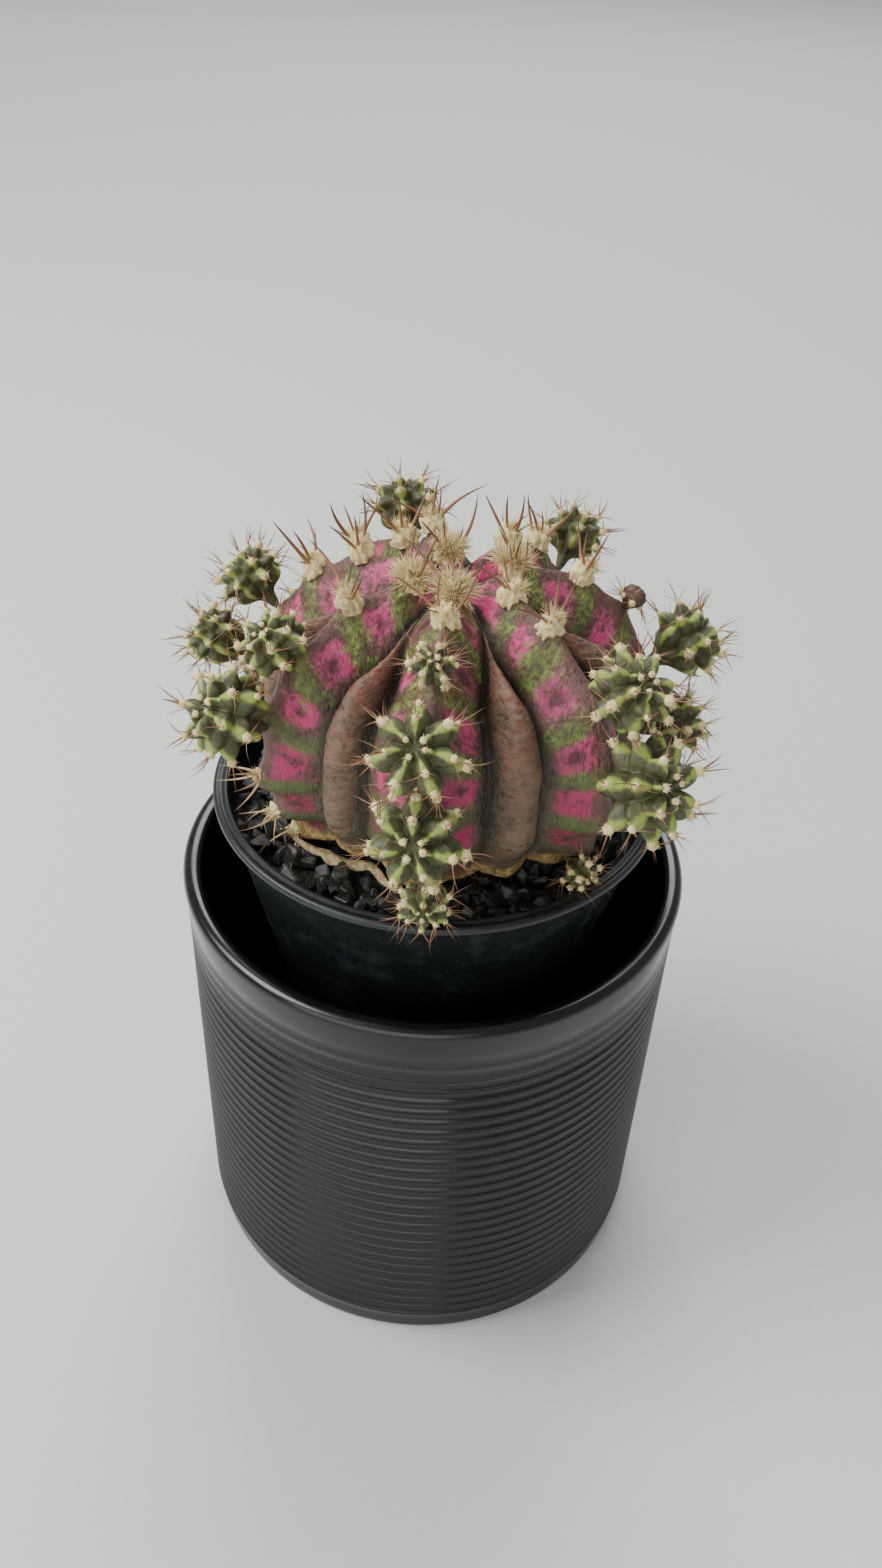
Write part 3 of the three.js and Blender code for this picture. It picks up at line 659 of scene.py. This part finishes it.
# grey base and corky collar
above_ground = add_node(tree, "ShaderNodeSeparateXYZ", "Z", {"Vector": coords})
height = add_node(
    tree, "ShaderNodeMapRange", "Result",
    {"Value": broad, "From Min": 0.3, "From Max": 0.7, "To Min": -2.5 * MM, "To Max": 2.5 * MM},
)
height = add_node(tree, "ShaderNodeMath", "Value", {0: above_ground, 1: height}, operation="ADD")
base = add_node(
    tree, "ShaderNodeMapRange", "Result",
    {"Value": height, "From Min": 173 * MM, "From Max": 163 * MM, "To Min": 0.0, "To Max": 0.6},
)
tone = add_node(
    tree, "ShaderNodeMix", BLEND, {SHARE: base, UNDER: tone, OVER: linear("#5c5546")}, data_type="RGBA"
)
cork = add_node(
    tree, "ShaderNodeMapRange", "Result", {"Value": height, "From Min": 163.6 * MM, "From Max": 161.8 * MM}
)
bark = add_node(
    tree, "ShaderNodeMix", BLEND,
    {SHARE: mottle, UNDER: linear("#7a5f39"), OVER: linear("#c0a571")}, data_type="RGBA",
)
tone = add_node(tree, "ShaderNodeMix", BLEND, {SHARE: cork, UNDER: tone, OVER: bark}, data_type="RGBA")
tree.links.new(tone, shader.inputs["Base Color"])

# waxy skin, finely wrinkled along the ribs and across the folds
sheen = add_node(
    tree, "ShaderNodeMapRange", "Result",
    {"Value": fine, "From Min": 0.3, "From Max": 0.7, "To Min": 0.46, "To Max": 0.68},
)
tree.links.new(sheen, shader.inputs["Roughness"])
upright = add_node(tree, "ShaderNodeMapping", "Vector", {"Vector": coords, "Scale": (1.0, 1.0, 0.3)})
upright = add_node(
    tree, "ShaderNodeTexNoise", "Fac",
    {"Vector": upright, "Scale": pattern(1.2), "Detail": 3, "Distortion": 0.5},
)
level = add_node(tree, "ShaderNodeMapping", "Vector", {"Vector": coords, "Scale": (0.3, 0.3, 1.0)})
level = add_node(
    tree, "ShaderNodeTexNoise", "Fac",
    {"Vector": level, "Scale": pattern(1.5), "Detail": 2, "Distortion": 0.8},
)
wrinkle = add_node(tree, "ShaderNodeMix", "Result", {"Factor": folded, "A": upright, "B": level})
bump = add_node(tree, "ShaderNodeBump", "Normal", {"Strength": 0.9, "Distance": 0.8 * MM, "Height": wrinkle})
tree.links.new(bump, shader.inputs["Normal"])
make_piece("mother_plant_skin", mother, [skin], ["mother_plant"], values=marks)

# Dried skin strip. A ribbon of dead, papery skin that has split from the plant's foot on the left front and
# lies curled on the gravel; it belongs to the mother plant.
STRIP_FROM, STRIP_TO = -146, -104
STRIP_HALF_WIDTH = 1.9
STRIP_LEVEL = 157.2
strip = bmesh.new()
bmesh.ops.create_grid(strip, x_segments=60, y_segments=6, size=1)
for vert in strip.verts:
    along, over = (vert.co.x + 1) / 2, vert.co.y
    azimuth = STRIP_FROM + (STRIP_TO - STRIP_FROM) * along
    point, outward, _ = grown(azimuth, COLLAR_FALL)
    away = Vector((outward.x, outward.y, 0)).normalized()
    wide = STRIP_HALF_WIDTH * math.sin(math.pi * min(max(along, 0.04), 0.96)) ** 0.5
    lie = 2.2 + 1.2 * math.sin(along * 7) + over * wide
    lift = STRIP_LEVEL + 0.9 * (1 - over * over) + 0.7 * noise.noise(Vector((along * 9, over, 2)))
    vert.co = Vector((point.x + away.x * lie, point.y + away.y * lie, lift)) * MM
bmesh.ops.solidify(strip, geom=strip.faces[:], thickness=0.5 * MM)

# Papery dead skin: straw-coloured, with brown fibres along it.
papery, tree, shader, coords = new_material("papery dead cactus skin", {"IOR": 1.45, "Roughness": 0.75})
fibre = add_node(
    tree, "ShaderNodeTexNoise", "Fac", {"Vector": coords, "Scale": pattern(2), "Detail": 5, "Roughness": 0.7}
)
fibre = add_node(tree, "ShaderNodeMapRange", "Result", {"Value": fibre, "From Min": 0.36, "From Max": 0.62})
tone = add_node(
    tree, "ShaderNodeMix", BLEND,
    {SHARE: fibre, UNDER: linear("#86714c"), OVER: linear("#bda983")}, data_type="RGBA",
)
tree.links.new(tone, shader.inputs["Base Color"])
bump = add_node(tree, "ShaderNodeBump", "Normal", {"Strength": 0.5, "Distance": 0.4 * MM, "Height": fibre})
tree.links.new(bump, shader.inputs["Normal"])
make_piece("dried_skin_strip", strip, [papery])

# Wool and spines of the mother plant. Every areole is a felt pad of cream wool with curved horny spines:
# fluffy and pale at the crown, crusted lower down, straw-coloured stars near the gravel.
AREOLES = {
    "front": (9, 23),
    "right_front": (16, 31),
    "right": (12, 33),
    "right_back": (21, 41),
    "back": (9, 33),
    "left_back": (20, 46),
    "left": (26, 44),
    "left_front": (11, 30, 95, 112, 126),
}
AZIMUTHS = {name: azimuth for name, azimuth, *_ in RIBS}
UPWARD = Vector((0, 0, 0.35))
SPINE_ANGLES = (-1.0, 1.0, 0.3, -0.4, -2.6, 2.3)
SPINE_LENGTHS = (15, 14, 12, 9, 7, 6)


def taper(sides, cuts, thickness, bend, name):
    """A template one unit long along +Z: a tapered, curved spike, with its 'tip' attribute 0 to 1."""
    bm = bmesh.new()
    bmesh.ops.create_cone(
        bm, segments=sides, radius1=thickness, radius2=thickness * 0.06, depth=1, cap_ends=True,
        matrix=Matrix.Translation((0, 0, 0.5)),
    )
    for i in range(1, cuts + 1):
        everything = bm.verts[:] + bm.edges[:] + bm.faces[:]
        bmesh.ops.bisect_plane(bm, geom=everything, plane_co=(0, 0, i / (cuts + 1)), plane_no=(0, 0, 1))
    tip = bm.verts.layers.float.new("tip")
    for vert in bm.verts:
        z = vert.co.z
        vert[tip] = z
        full = (1 - z**2) / max(1 - z, 0.06)
        vert.co.x *= min(full, 1.6) * 0.75
        vert.co.y *= min(full, 1.6) * 0.75
        vert.co.x += bend * z * z
    template = bpy.data.meshes.new(name)
    bm.to_mesh(template)
    bm.free()
    for polygon in template.polygons:
        polygon.material_index = 1
    return template


def aim(point, direction, length, roll):
    """The matrix that stands a template on a point, along a direction, that many millimetres long."""
    turn = direction.to_track_quat("Z", "Y").to_matrix().to_4x4()
    sized = Matrix.Rotation(roll, 4, "Z") @ Matrix.Scale(length * MM, 4)
    return Matrix.Translation(point * MM) @ turn @ sized


random.seed(5)
long_spines = [taper(8, 9, 0.043, bend, f"long_spine_{bend}") for bend in (0.12, 0.26, 0.4)]
hairs = [taper(3, 2, 0.034, bend, f"hair_{bend}") for bend in (0.1, 0.35, 0.6)]
for hair in hairs:
    for polygon in hair.polygons:
        polygon.material_index = 0
fluffs = []
for i in range(3):
    bm = bmesh.new()
    bm.verts.layers.float.new("tip")
    for k in range(70):
        way = Vector((random.gauss(0, 1), random.gauss(0, 1), abs(random.gauss(0, 1)) + 0.15)).normalized()
        lean = way.to_track_quat("Z", "Y").to_matrix().to_4x4()
        spin = Matrix.Rotation(random.uniform(0, math.tau), 4, "Z")
        foot = Matrix.Translation(way * 0.3)
        place(bm, random.choice(hairs), foot @ lean @ spin @ Matrix.Scale(random.uniform(0.4, 0.85), 4))
    fluff = bpy.data.meshes.new(f"fluff_{i}")
    bm.to_mesh(fluff)
    bm.free()
    fluffs.append(fluff)

# Cream felt: matted plant hair, a little yellow inside and dusty outside.
wool, tree, shader, coords = new_material(
    "matted areole wool", {"IOR": 1.45, "Roughness": 0.95, "Sheen Weight": 0.1}
)
felt = add_node(
    tree, "ShaderNodeTexNoise", "Fac",
    {"Vector": coords, "Scale": pattern(0.7), "Detail": 4, "Roughness": 0.7},
)
patch = add_node(tree, "ShaderNodeTexNoise", "Fac", {"Vector": coords, "Scale": pattern(5), "Detail": 2})
felt_tone = add_node(
    tree, "ShaderNodeMapRange", "Result", {"Value": felt, "From Min": 0.35, "From Max": 0.65}
)
pale = add_node(
    tree, "ShaderNodeMix", BLEND,
    {SHARE: felt_tone, UNDER: linear("#cdb271"), OVER: linear("#f7e9b6")}, data_type="RGBA",
)
dusty = add_node(
    tree, "ShaderNodeMapRange", "Result",
    {"Value": patch, "From Min": 0.55, "From Max": 0.75, "To Min": 0.0, "To Max": 0.5},
)
pale = add_node(
    tree, "ShaderNodeMix", BLEND, {SHARE: dusty, UNDER: pale, OVER: linear("#a8946c")}, data_type="RGBA"
)
tree.links.new(pale, shader.inputs["Base Color"])
bump = add_node(tree, "ShaderNodeBump", "Normal", {"Strength": 0.7, "Distance": 0.25 * MM, "Height": felt})
tree.links.new(bump, shader.inputs["Normal"])

# Horny spine: straw at the foot, red-brown along it, dark grey at the tip.
horn, tree, shader, coords = new_material("horny cactus spine", {"IOR": 1.5})
tip = add_node(tree, "ShaderNodeAttribute", "Fac", {}, attribute_name="tip")
streak = add_node(tree, "ShaderNodeTexNoise", "Fac", {"Vector": coords, "Scale": pattern(2.5), "Detail": 3})
rise = add_node(tree, "ShaderNodeMapRange", "Result", {"Value": tip, "From Min": 0.0, "From Max": 0.35})
shaft = add_node(
    tree, "ShaderNodeMix", BLEND,
    {SHARE: streak, UNDER: linear("#cdb084"), OVER: linear("#9a6c48")}, data_type="RGBA",
)
shaft = add_node(
    tree, "ShaderNodeMix", BLEND, {SHARE: rise, UNDER: shaft, OVER: linear("#8c6244")}, data_type="RGBA"
)
dark = add_node(tree, "ShaderNodeMapRange", "Result", {"Value": tip, "From Min": 0.5, "From Max": 0.95})
shaft = add_node(
    tree, "ShaderNodeMix", BLEND, {SHARE: dark, UNDER: shaft, OVER: linear("#2a2223")}, data_type="RGBA"
)
tree.links.new(shaft, shader.inputs["Base Color"])
sheen = add_node(tree, "ShaderNodeMapRange", "Result", {"Value": streak, "To Min": 0.35, "To Max": 0.6})
tree.links.new(sheen, shader.inputs["Roughness"])

# Older spines near the gravel have bleached to straw.
straw, tree, shader, coords = new_material("bleached cactus spine", {"IOR": 1.5, "Roughness": 0.55})
tip = add_node(tree, "ShaderNodeAttribute", "Fac", {}, attribute_name="tip")
streak = add_node(tree, "ShaderNodeTexNoise", "Fac", {"Vector": coords, "Scale": pattern(2.5), "Detail": 3})
shaft = add_node(
    tree, "ShaderNodeMix", BLEND,
    {SHARE: streak, UNDER: linear("#d8c193"), OVER: linear("#b08e5f")}, data_type="RGBA",
)
dark = add_node(
    tree, "ShaderNodeMapRange", "Result",
    {"Value": tip, "From Min": 0.5, "From Max": 1.0, "To Min": 0.0, "To Max": 0.8},
)
shaft = add_node(
    tree, "ShaderNodeMix", BLEND, {SHARE: dark, UNDER: shaft, OVER: linear("#7a5238")}, data_type="RGBA"
)
tree.links.new(shaft, shader.inputs["Base Color"])

for rib, falls in AREOLES.items():
    for number, fall in enumerate(falls, 1):
        middle, outward = crest(AZIMUTHS[rib], fall, 0.4)
        low_down = fall > 90
        young = fall < 13
        side = Vector((0, 0, 1)).cross(outward).normalized()
        up = outward.cross(side).normalized()
        pad = bmesh.new()
        bmesh.ops.create_icosphere(pad, subdivisions=4, radius=1)
        wide = 2.4 if low_down else 3.2
        tall = 2 if low_down else 4.4
        for vert in pad.verts:
            knobs = 1 + 0.34 * noise.noise(vert.co * 2.6 + Vector((fall, number, 0)))
            knobs += 0.14 * math.sin(9 * math.atan2(vert.co.y, vert.co.x) + fall) * (1 - abs(vert.co.z))
            knobs += 0.2 * noise.noise(vert.co * 7 + Vector((fall, 0, number)))
            local = vert.co * knobs
            local.z = max(local.z, -0.35)
            spread = side * local.x * wide + up * local.y * wide * 0.85
            vert.co = (middle + spread + outward * local.z * tall) * MM
        pad.verts.layers.float.new("tip")
        for i in range(10 if young else 3):
            way = Vector((random.gauss(0, 0.5), random.gauss(0, 0.5), 0)) * wide * 0.5
            foot = middle + side * way.x + up * way.y + outward * tall * (0.3 if young else 0.6)
            lean = (outward + side * way.x * 0.25 + up * way.y * 0.25).normalized()
            length = random.uniform(4.8, 7) if young else wide * random.uniform(0.9, 1.3)
            place(pad, random.choice(fluffs), aim(foot, lean, length, random.uniform(0, math.tau)))
        for i in range(5 if low_down else 6):
            if low_down:
                angle = math.tau * i / 5 + random.uniform(-0.3, 0.3)
                lean = outward + side * math.sin(angle) * 0.9 + up * math.cos(angle) * 0.9
                length = random.uniform(8, 13)
            else:
                angle = SPINE_ANGLES[i] + random.uniform(-0.25, 0.25)
                lean = outward * 0.75 + side * math.sin(angle) + up * math.cos(angle) * 0.5 + UPWARD
                length = SPINE_LENGTHS[i] * random.uniform(0.8, 1.1)
            foot = middle + outward * tall * 0.35 + side * math.sin(angle) * wide * 0.5
            roll = random.uniform(0, math.tau)
            place(pad, random.choice(long_spines), aim(foot, lean.normalized(), length, roll))
        name = f"{rib}_{number}"
        spine_skin = straw if low_down else horn
        make_piece(f"wool_{name}", pad, [wool, spine_skin], [f"areole_{name}"])

# Offsets. Twenty young plants budding from the ribs on short necks. Each is a small globe whose ribs are
# broken into pointed tubercles, lime-green on the ridges, partly their own colour and partly painted
# highlight, and dark olive-brown in the furrows, partly painted shade; every tubercle ends in a cream tuft
# with a few short spines.
# name, rib, degrees down it, degrees to the side of it, millimetres out from it, radius
OFFSETS = [
    ("front_upper", "front", 41, -1, 4.5, 4.6),
    ("front_middle", "front", 64, -1, 11, 9.2),
    ("front_lower", "front", 85, 0, 10, 9.6),
    ("front_base", "front", 105, 2, 9, 5.6),
    ("left_front_upper", "left_front", 53, 2, 8, 7.2),
    ("left_front_lower", "left_front", 74, 3, 12, 9.6),
    ("left_upper", "left", 66, -1, 11, 7.6),
    ("left_lower", "left", 78, 13, 12, 6.8),
    ("left_base", "left", 101, -4, 8, 6.2),
    ("left_back_middle", "left_back", 86, -2, 9, 7),
    ("back_upper", "back", 52, 5, 10, 8),
    ("back_lower", "back", 84, 1, 9, 8),
    ("right_back_upper", "right_back", 62, 0, 12, 7.4),
    ("right_back_lower", "right_back", 92, 3, 9, 7),
    ("right_bud", "right", 53, -1, 4, 3.4),
    ("right_middle", "right", 80, 4, 14, 9),
    ("right_lower", "right", 99, -2, 12, 7.6),
    ("right_front_upper", "right_front", 58, 0, 11, 8.8),
    ("right_front_lower", "right_front", 80, -3, 13, 11),
    ("right_front_base", "right_front", 115, -6, 4, 4.2),
]
ROW_STEP = 38
FIRST_ROW = 13
LAST_TUFT_TILT = 118
BUD_TUFT_TILT = 112


def offset_surface(turn, tilt, radius, ribs, neck, relief):
    """A point on an offset in its own millimetres, and how much of a ridge it is there, 0 to 1."""
    position = turn * ribs / math.tau
    rib = round(position)
    aside = abs(position - rib)
    ridge = 1 - math.sin(math.pi * aside) ** 0.9
    block = 1 - (2 * aside) ** 1.5
    row = (tilt - FIRST_ROW) / ROW_STEP - 0.5 * (rib % ribs % 2)
    beside = row - round(row)
    tubercle = math.exp(-((beside * (2.2 if beside < 0 else 3.4)) ** 2))
    ends = smooth(2, 24, tilt) * (1 - smooth(118, 150, tilt))
    bump = block ** (1.3 - 0.6 * tubercle) * (0.38 + 0.62 * tubercle) * ends
    reach = radius * (0.92 + relief * (bump - 0.5))
    angle = math.radians(tilt)
    wide = reach * math.sin(angle) ** 0.85 * (1 - 0.45 * smooth(112, 150, tilt))
    level = 0.84 * reach * math.cos(angle) - max(neck - 0.84 * radius, 0) * smooth(110, 180, tilt)
    ridge_here = ridge * (0.6 + 0.4 * tubercle) * ends
    return Vector((wide * math.cos(turn), wide * math.sin(turn), level)), ridge_here


lock = taper(3, 0, 0.22, 0.1, "lock")
for polygon in lock.polygons:
    polygon.material_index = 0
tufts = []
for i in range(4):
    bm = bmesh.new()
    bmesh.ops.create_icosphere(bm, subdivisions=1, radius=0.82, matrix=Matrix.Translation((0, 0, 0.3)))
    bm.verts.layers.float.new("tip")
    for k in range(12):
        way = Vector((random.gauss(0, 0.75), random.gauss(0, 0.75), 1)).normalized()
        turn = way.to_track_quat("Z", "Y").to_matrix().to_4x4()
        spin = Matrix.Rotation(random.uniform(0, math.tau), 4, "Z")
        place(bm, lock, turn @ spin @ Matrix.Scale(random.uniform(1.0, 1.6), 4))
    tuft = bpy.data.meshes.new(f"tuft_{i}")
    bm.to_mesh(tuft)
    bm.free()
    tufts.append(tuft)
short_spines = [taper(4, 3, 0.03, bend, f"short_spine_{bend}") for bend in (0.1, 0.28, 0.45)]

# Young cactus skin: lime-green ridges, dark olive faces with a brown cast deep in the furrows; the lime is
# partly painted highlight on the ridges and the dark partly painted shade in the furrows.
young_skin, tree, shader, coords = new_material(
    "young offset skin", {"IOR": 1.42, "Subsurface Weight": 0.08, "Subsurface Scale": 1 * MM}
)
ridge = add_node(tree, "ShaderNodeAttribute", "Fac", {}, attribute_name="ridge")
mottle = add_node(
    tree, "ShaderNodeTexNoise", "Fac",
    {"Vector": coords, "Scale": pattern(2.4), "Detail": 4, "Roughness": 0.6},
)
cast = add_node(tree, "ShaderNodeTexNoise", "Fac", {"Vector": coords, "Scale": pattern(7), "Detail": 3})
dark = add_node(
    tree, "ShaderNodeMix", BLEND,
    {SHARE: cast, UNDER: linear("#3b3c27"), OVER: linear("#4c3a30")}, data_type="RGBA",
)
olive = add_node(tree, "ShaderNodeMapRange", "Result", {"Value": mottle, "From Min": 0.35, "From Max": 0.65})
dark = add_node(
    tree, "ShaderNodeMix", BLEND, {SHARE: olive, UNDER: dark, OVER: linear("#545d38")}, data_type="RGBA"
)
wander = add_node(
    tree, "ShaderNodeMapRange", "Result",
    {"Value": mottle, "From Min": 0.3, "From Max": 0.7, "To Min": -0.12, "To Max": 0.12},
)
# the ridge share turns dark olive to lime: partly skin colour, partly painted highlight on the ridges and
# painted shade in the furrows
edge = add_node(tree, "ShaderNodeMath", "Value", {0: ridge, 1: wander}, operation="ADD")
edge = add_node(
    tree, "ShaderNodeMapRange", "Result",
    {"Value": edge, "From Min": 0.34, "From Max": 0.66}, interpolation_type="SMOOTHSTEP",
)
lime = add_node(
    tree, "ShaderNodeMix", BLEND,
    {SHARE: mottle, UNDER: linear("#74843b"), OVER: linear("#a9ba5a")}, data_type="RGBA",
)
tone = add_node(tree, "ShaderNodeMix", BLEND, {SHARE: edge, UNDER: dark, OVER: lime}, data_type="RGBA")
tree.links.new(tone, shader.inputs["Base Color"])
sheen = add_node(
    tree, "ShaderNodeMapRange", "Result",
    {"Value": mottle, "From Min": 0.3, "From Max": 0.7, "To Min": 0.36, "To Max": 0.55},
)
tree.links.new(sheen, shader.inputs["Roughness"])
grain = add_node(tree, "ShaderNodeTexNoise", "Fac", {"Vector": coords, "Scale": pattern(0.5), "Detail": 3})
bump = add_node(tree, "ShaderNodeBump", "Normal", {"Strength": 0.4, "Distance": 0.12 * MM, "Height": grain})
tree.links.new(bump, shader.inputs["Normal"])

# Flower bud on the right rib: bare maroon-brown scales.
scales, tree, shader, coords = new_material("maroon bud scales", {"IOR": 1.42, "Roughness": 0.45})
scale_edges = add_node(tree, "ShaderNodeTexVoronoi", "Distance", {"Vector": coords, "Scale": pattern(2.6)})
tone = add_node(
    tree, "ShaderNodeMix", BLEND,
    {SHARE: scale_edges, UNDER: linear("#2f201b"), OVER: linear("#6a4a3c")}, data_type="RGBA",
)
tree.links.new(tone, shader.inputs["Base Color"])
bump = add_node(
    tree, "ShaderNodeBump", "Normal", {"Strength": 0.5, "Distance": 0.3 * MM, "Height": scale_edges}
)
tree.links.new(bump, shader.inputs["Normal"])

random.seed(21)
for name, rib, down, aside, out, radius in OFFSETS:
    azimuth = AZIMUTHS[rib] + aside
    neck = out + groove(azimuth, down)[1] + 1.5
    seat, outward = crest(azimuth, down, out)
    axis = (outward + UPWARD).normalized()
    upright = axis.to_track_quat("Z", "Y").to_matrix().to_4x4()
    own_turn = upright @ Matrix.Rotation(random.uniform(0, 1), 4, "Z")
    stand = Matrix.Translation(seat * MM) @ own_turn @ Matrix.Scale(MM, 4)
    ribs = 7 if radius > 6 else 6
    bud = name == "right_bud"
    relief = 0.12 if bud else 0.46
    body = ball(104, 76)
    ridges = []
    for vert in body.verts:
        tilt = math.degrees(math.acos(max(-1, min(1, vert.co.z))))
        turn = math.atan2(vert.co.y, vert.co.x) % math.tau
        point, ridge_here = offset_surface(turn, tilt, radius, ribs, neck, relief)
        point += point * 0.05 * noise.noise(point / 4 + seat)
        vert.co = stand @ point
        ridges.append(0.0 if bud else ridge_here)
    own_skin = scales if bud else young_skin
    marks = {"ridge": ridges}
    make_piece(f"offset_skin_{name}", body, [own_skin], [f"offset_{name}"], values=marks)

    cover = bmesh.new()
    cover.verts.layers.float.new("tip")
    turn_only = own_turn.to_3x3()
    for number in range(ribs):
        for step in range(1 if bud else 4):
            tilt = BUD_TUFT_TILT if bud else FIRST_ROW + ROW_STEP * (step + 0.5 * (number % 2))
            if tilt > LAST_TUFT_TILT:
                continue
            turn = number * math.tau / ribs
            local, _ = offset_surface(turn, tilt, radius, ribs, neck, relief)
            lean = math.radians(tilt)
            way = Vector((math.sin(lean) * math.cos(turn), math.sin(lean) * math.sin(turn), math.cos(lean)))
            foot = stand @ local / MM
            facing = turn_only @ way
            crown = tilt < 20
            wide = (0.95 + 0.07 * radius) * random.uniform(0.6, 1.2) * (0.75 if crown else 1)
            tuft = random.choice(tufts)
            place(cover, tuft, aim(foot - facing * 0.4, facing, wide, random.uniform(0, math.tau)))
            for i in range(0 if crown else random.choice((3, 4, 5))):
                spread = Vector([random.gauss(0, 0.55) for k in range(3)])
                direction = (facing + spread).normalized()
                length = random.uniform(4.5, 8) * (0.7 + radius / 30)
                spine = random.choice(short_spines)
                place(cover, spine, aim(foot, direction, length, random.uniform(0, math.tau)))
    make_piece(f"offset_tufts_{name}", cover, [wool, horn])

# Stage. A plain pale floor under an even sky. A small soft light stands at the upper left, a wide one in
# front shows the cover pot's ridges, and a strong one hangs high up behind.
FLOOR_HALF = 30
bm = bmesh.new()
bmesh.ops.create_grid(bm, x_segments=1, y_segments=1, size=FLOOR_HALF)
mesh = bpy.data.meshes.new("floor")
bm.to_mesh(mesh)
bm.free()
floor = bpy.data.objects.new("floor", mesh)
bpy.context.scene.collection.objects.link(floor)

# Uncoated backdrop paper: matt and pale, with a very faint fibre.
paper, tree, shader, coords = new_material("pale studio paper", {"Roughness": 0.9})
fibres = add_node(tree, "ShaderNodeTexNoise", "Fac", {"Vector": coords, "Scale": pattern(3), "Detail": 2})
tone = add_node(
    tree, "ShaderNodeMix", BLEND,
    {SHARE: fibres, UNDER: linear("#cdcdc9"), OVER: linear("#d3d3cf")}, data_type="RGBA",
)
tree.links.new(tone, shader.inputs["Base Color"])
mesh.materials.append(paper)

world = bpy.data.worlds.new("studio")
world.use_nodes = True
world.node_tree.nodes["Background"].inputs["Color"].default_value = linear("#e8ebee")
world.node_tree.nodes["Background"].inputs["Strength"].default_value = 0.5
bpy.context.scene.world = world

# name, place in metres, width, height, watts; all face the plant's foot
AIM_POINT = Vector((0, 0, 0.15))
LIGHTS = [
    ("key", (-0.95, -0.1, 1.15), 0.8, 0.8, 22),
    ("front", (-0.6, -1.6, 0.85), 2.2, 1.3, 20),
    ("overhead", (0.1, 2.6, 3.4), 2.4, 2.4, 130),
]
for name, spot, wide, tall, power in LIGHTS:
    light = bpy.data.lights.new(name, "AREA")
    light.shape = "RECTANGLE"
    light.size = wide
    light.size_y = tall
    light.energy = power
    lamp = bpy.data.objects.new(name, light)
    lamp.location = spot
    lamp.rotation_mode = "QUATERNION"
    lamp.rotation_quaternion = (AIM_POINT - Vector(spot)).to_track_quat("-Z", "Y")
    bpy.context.scene.collection.objects.link(lamp)

# Camera. Hand-held height in front of the pot, looking down at 37 degrees with a very slight roll.
camera = bpy.data.objects.new("camera", bpy.data.cameras.new("camera"))
camera.data.sensor_width = 36
camera.data.lens = 28.65
camera.data.clip_start = 0.01
PITCH, YAW, ROLL = math.radians(37.44), math.radians(-0.10), math.radians(2.77)
CAMERA_PLACE = (0.00154, -0.2697, 0.3625)
ahead = Vector((math.sin(YAW) * math.cos(PITCH), math.cos(YAW) * math.cos(PITCH), -math.sin(PITCH)))
level_right = Vector((math.cos(YAW), -math.sin(YAW), 0))
level_up = level_right.cross(ahead)
right = level_right * math.cos(ROLL) + level_up * math.sin(ROLL)
up = level_up * math.cos(ROLL) - level_right * math.sin(ROLL)
camera.rotation_mode = "QUATERNION"
camera.rotation_quaternion = Matrix((right, up, -ahead)).transposed().to_quaternion()
camera.location = CAMERA_PLACE
bpy.context.scene.collection.objects.link(camera)
bpy.context.scene.camera = camera
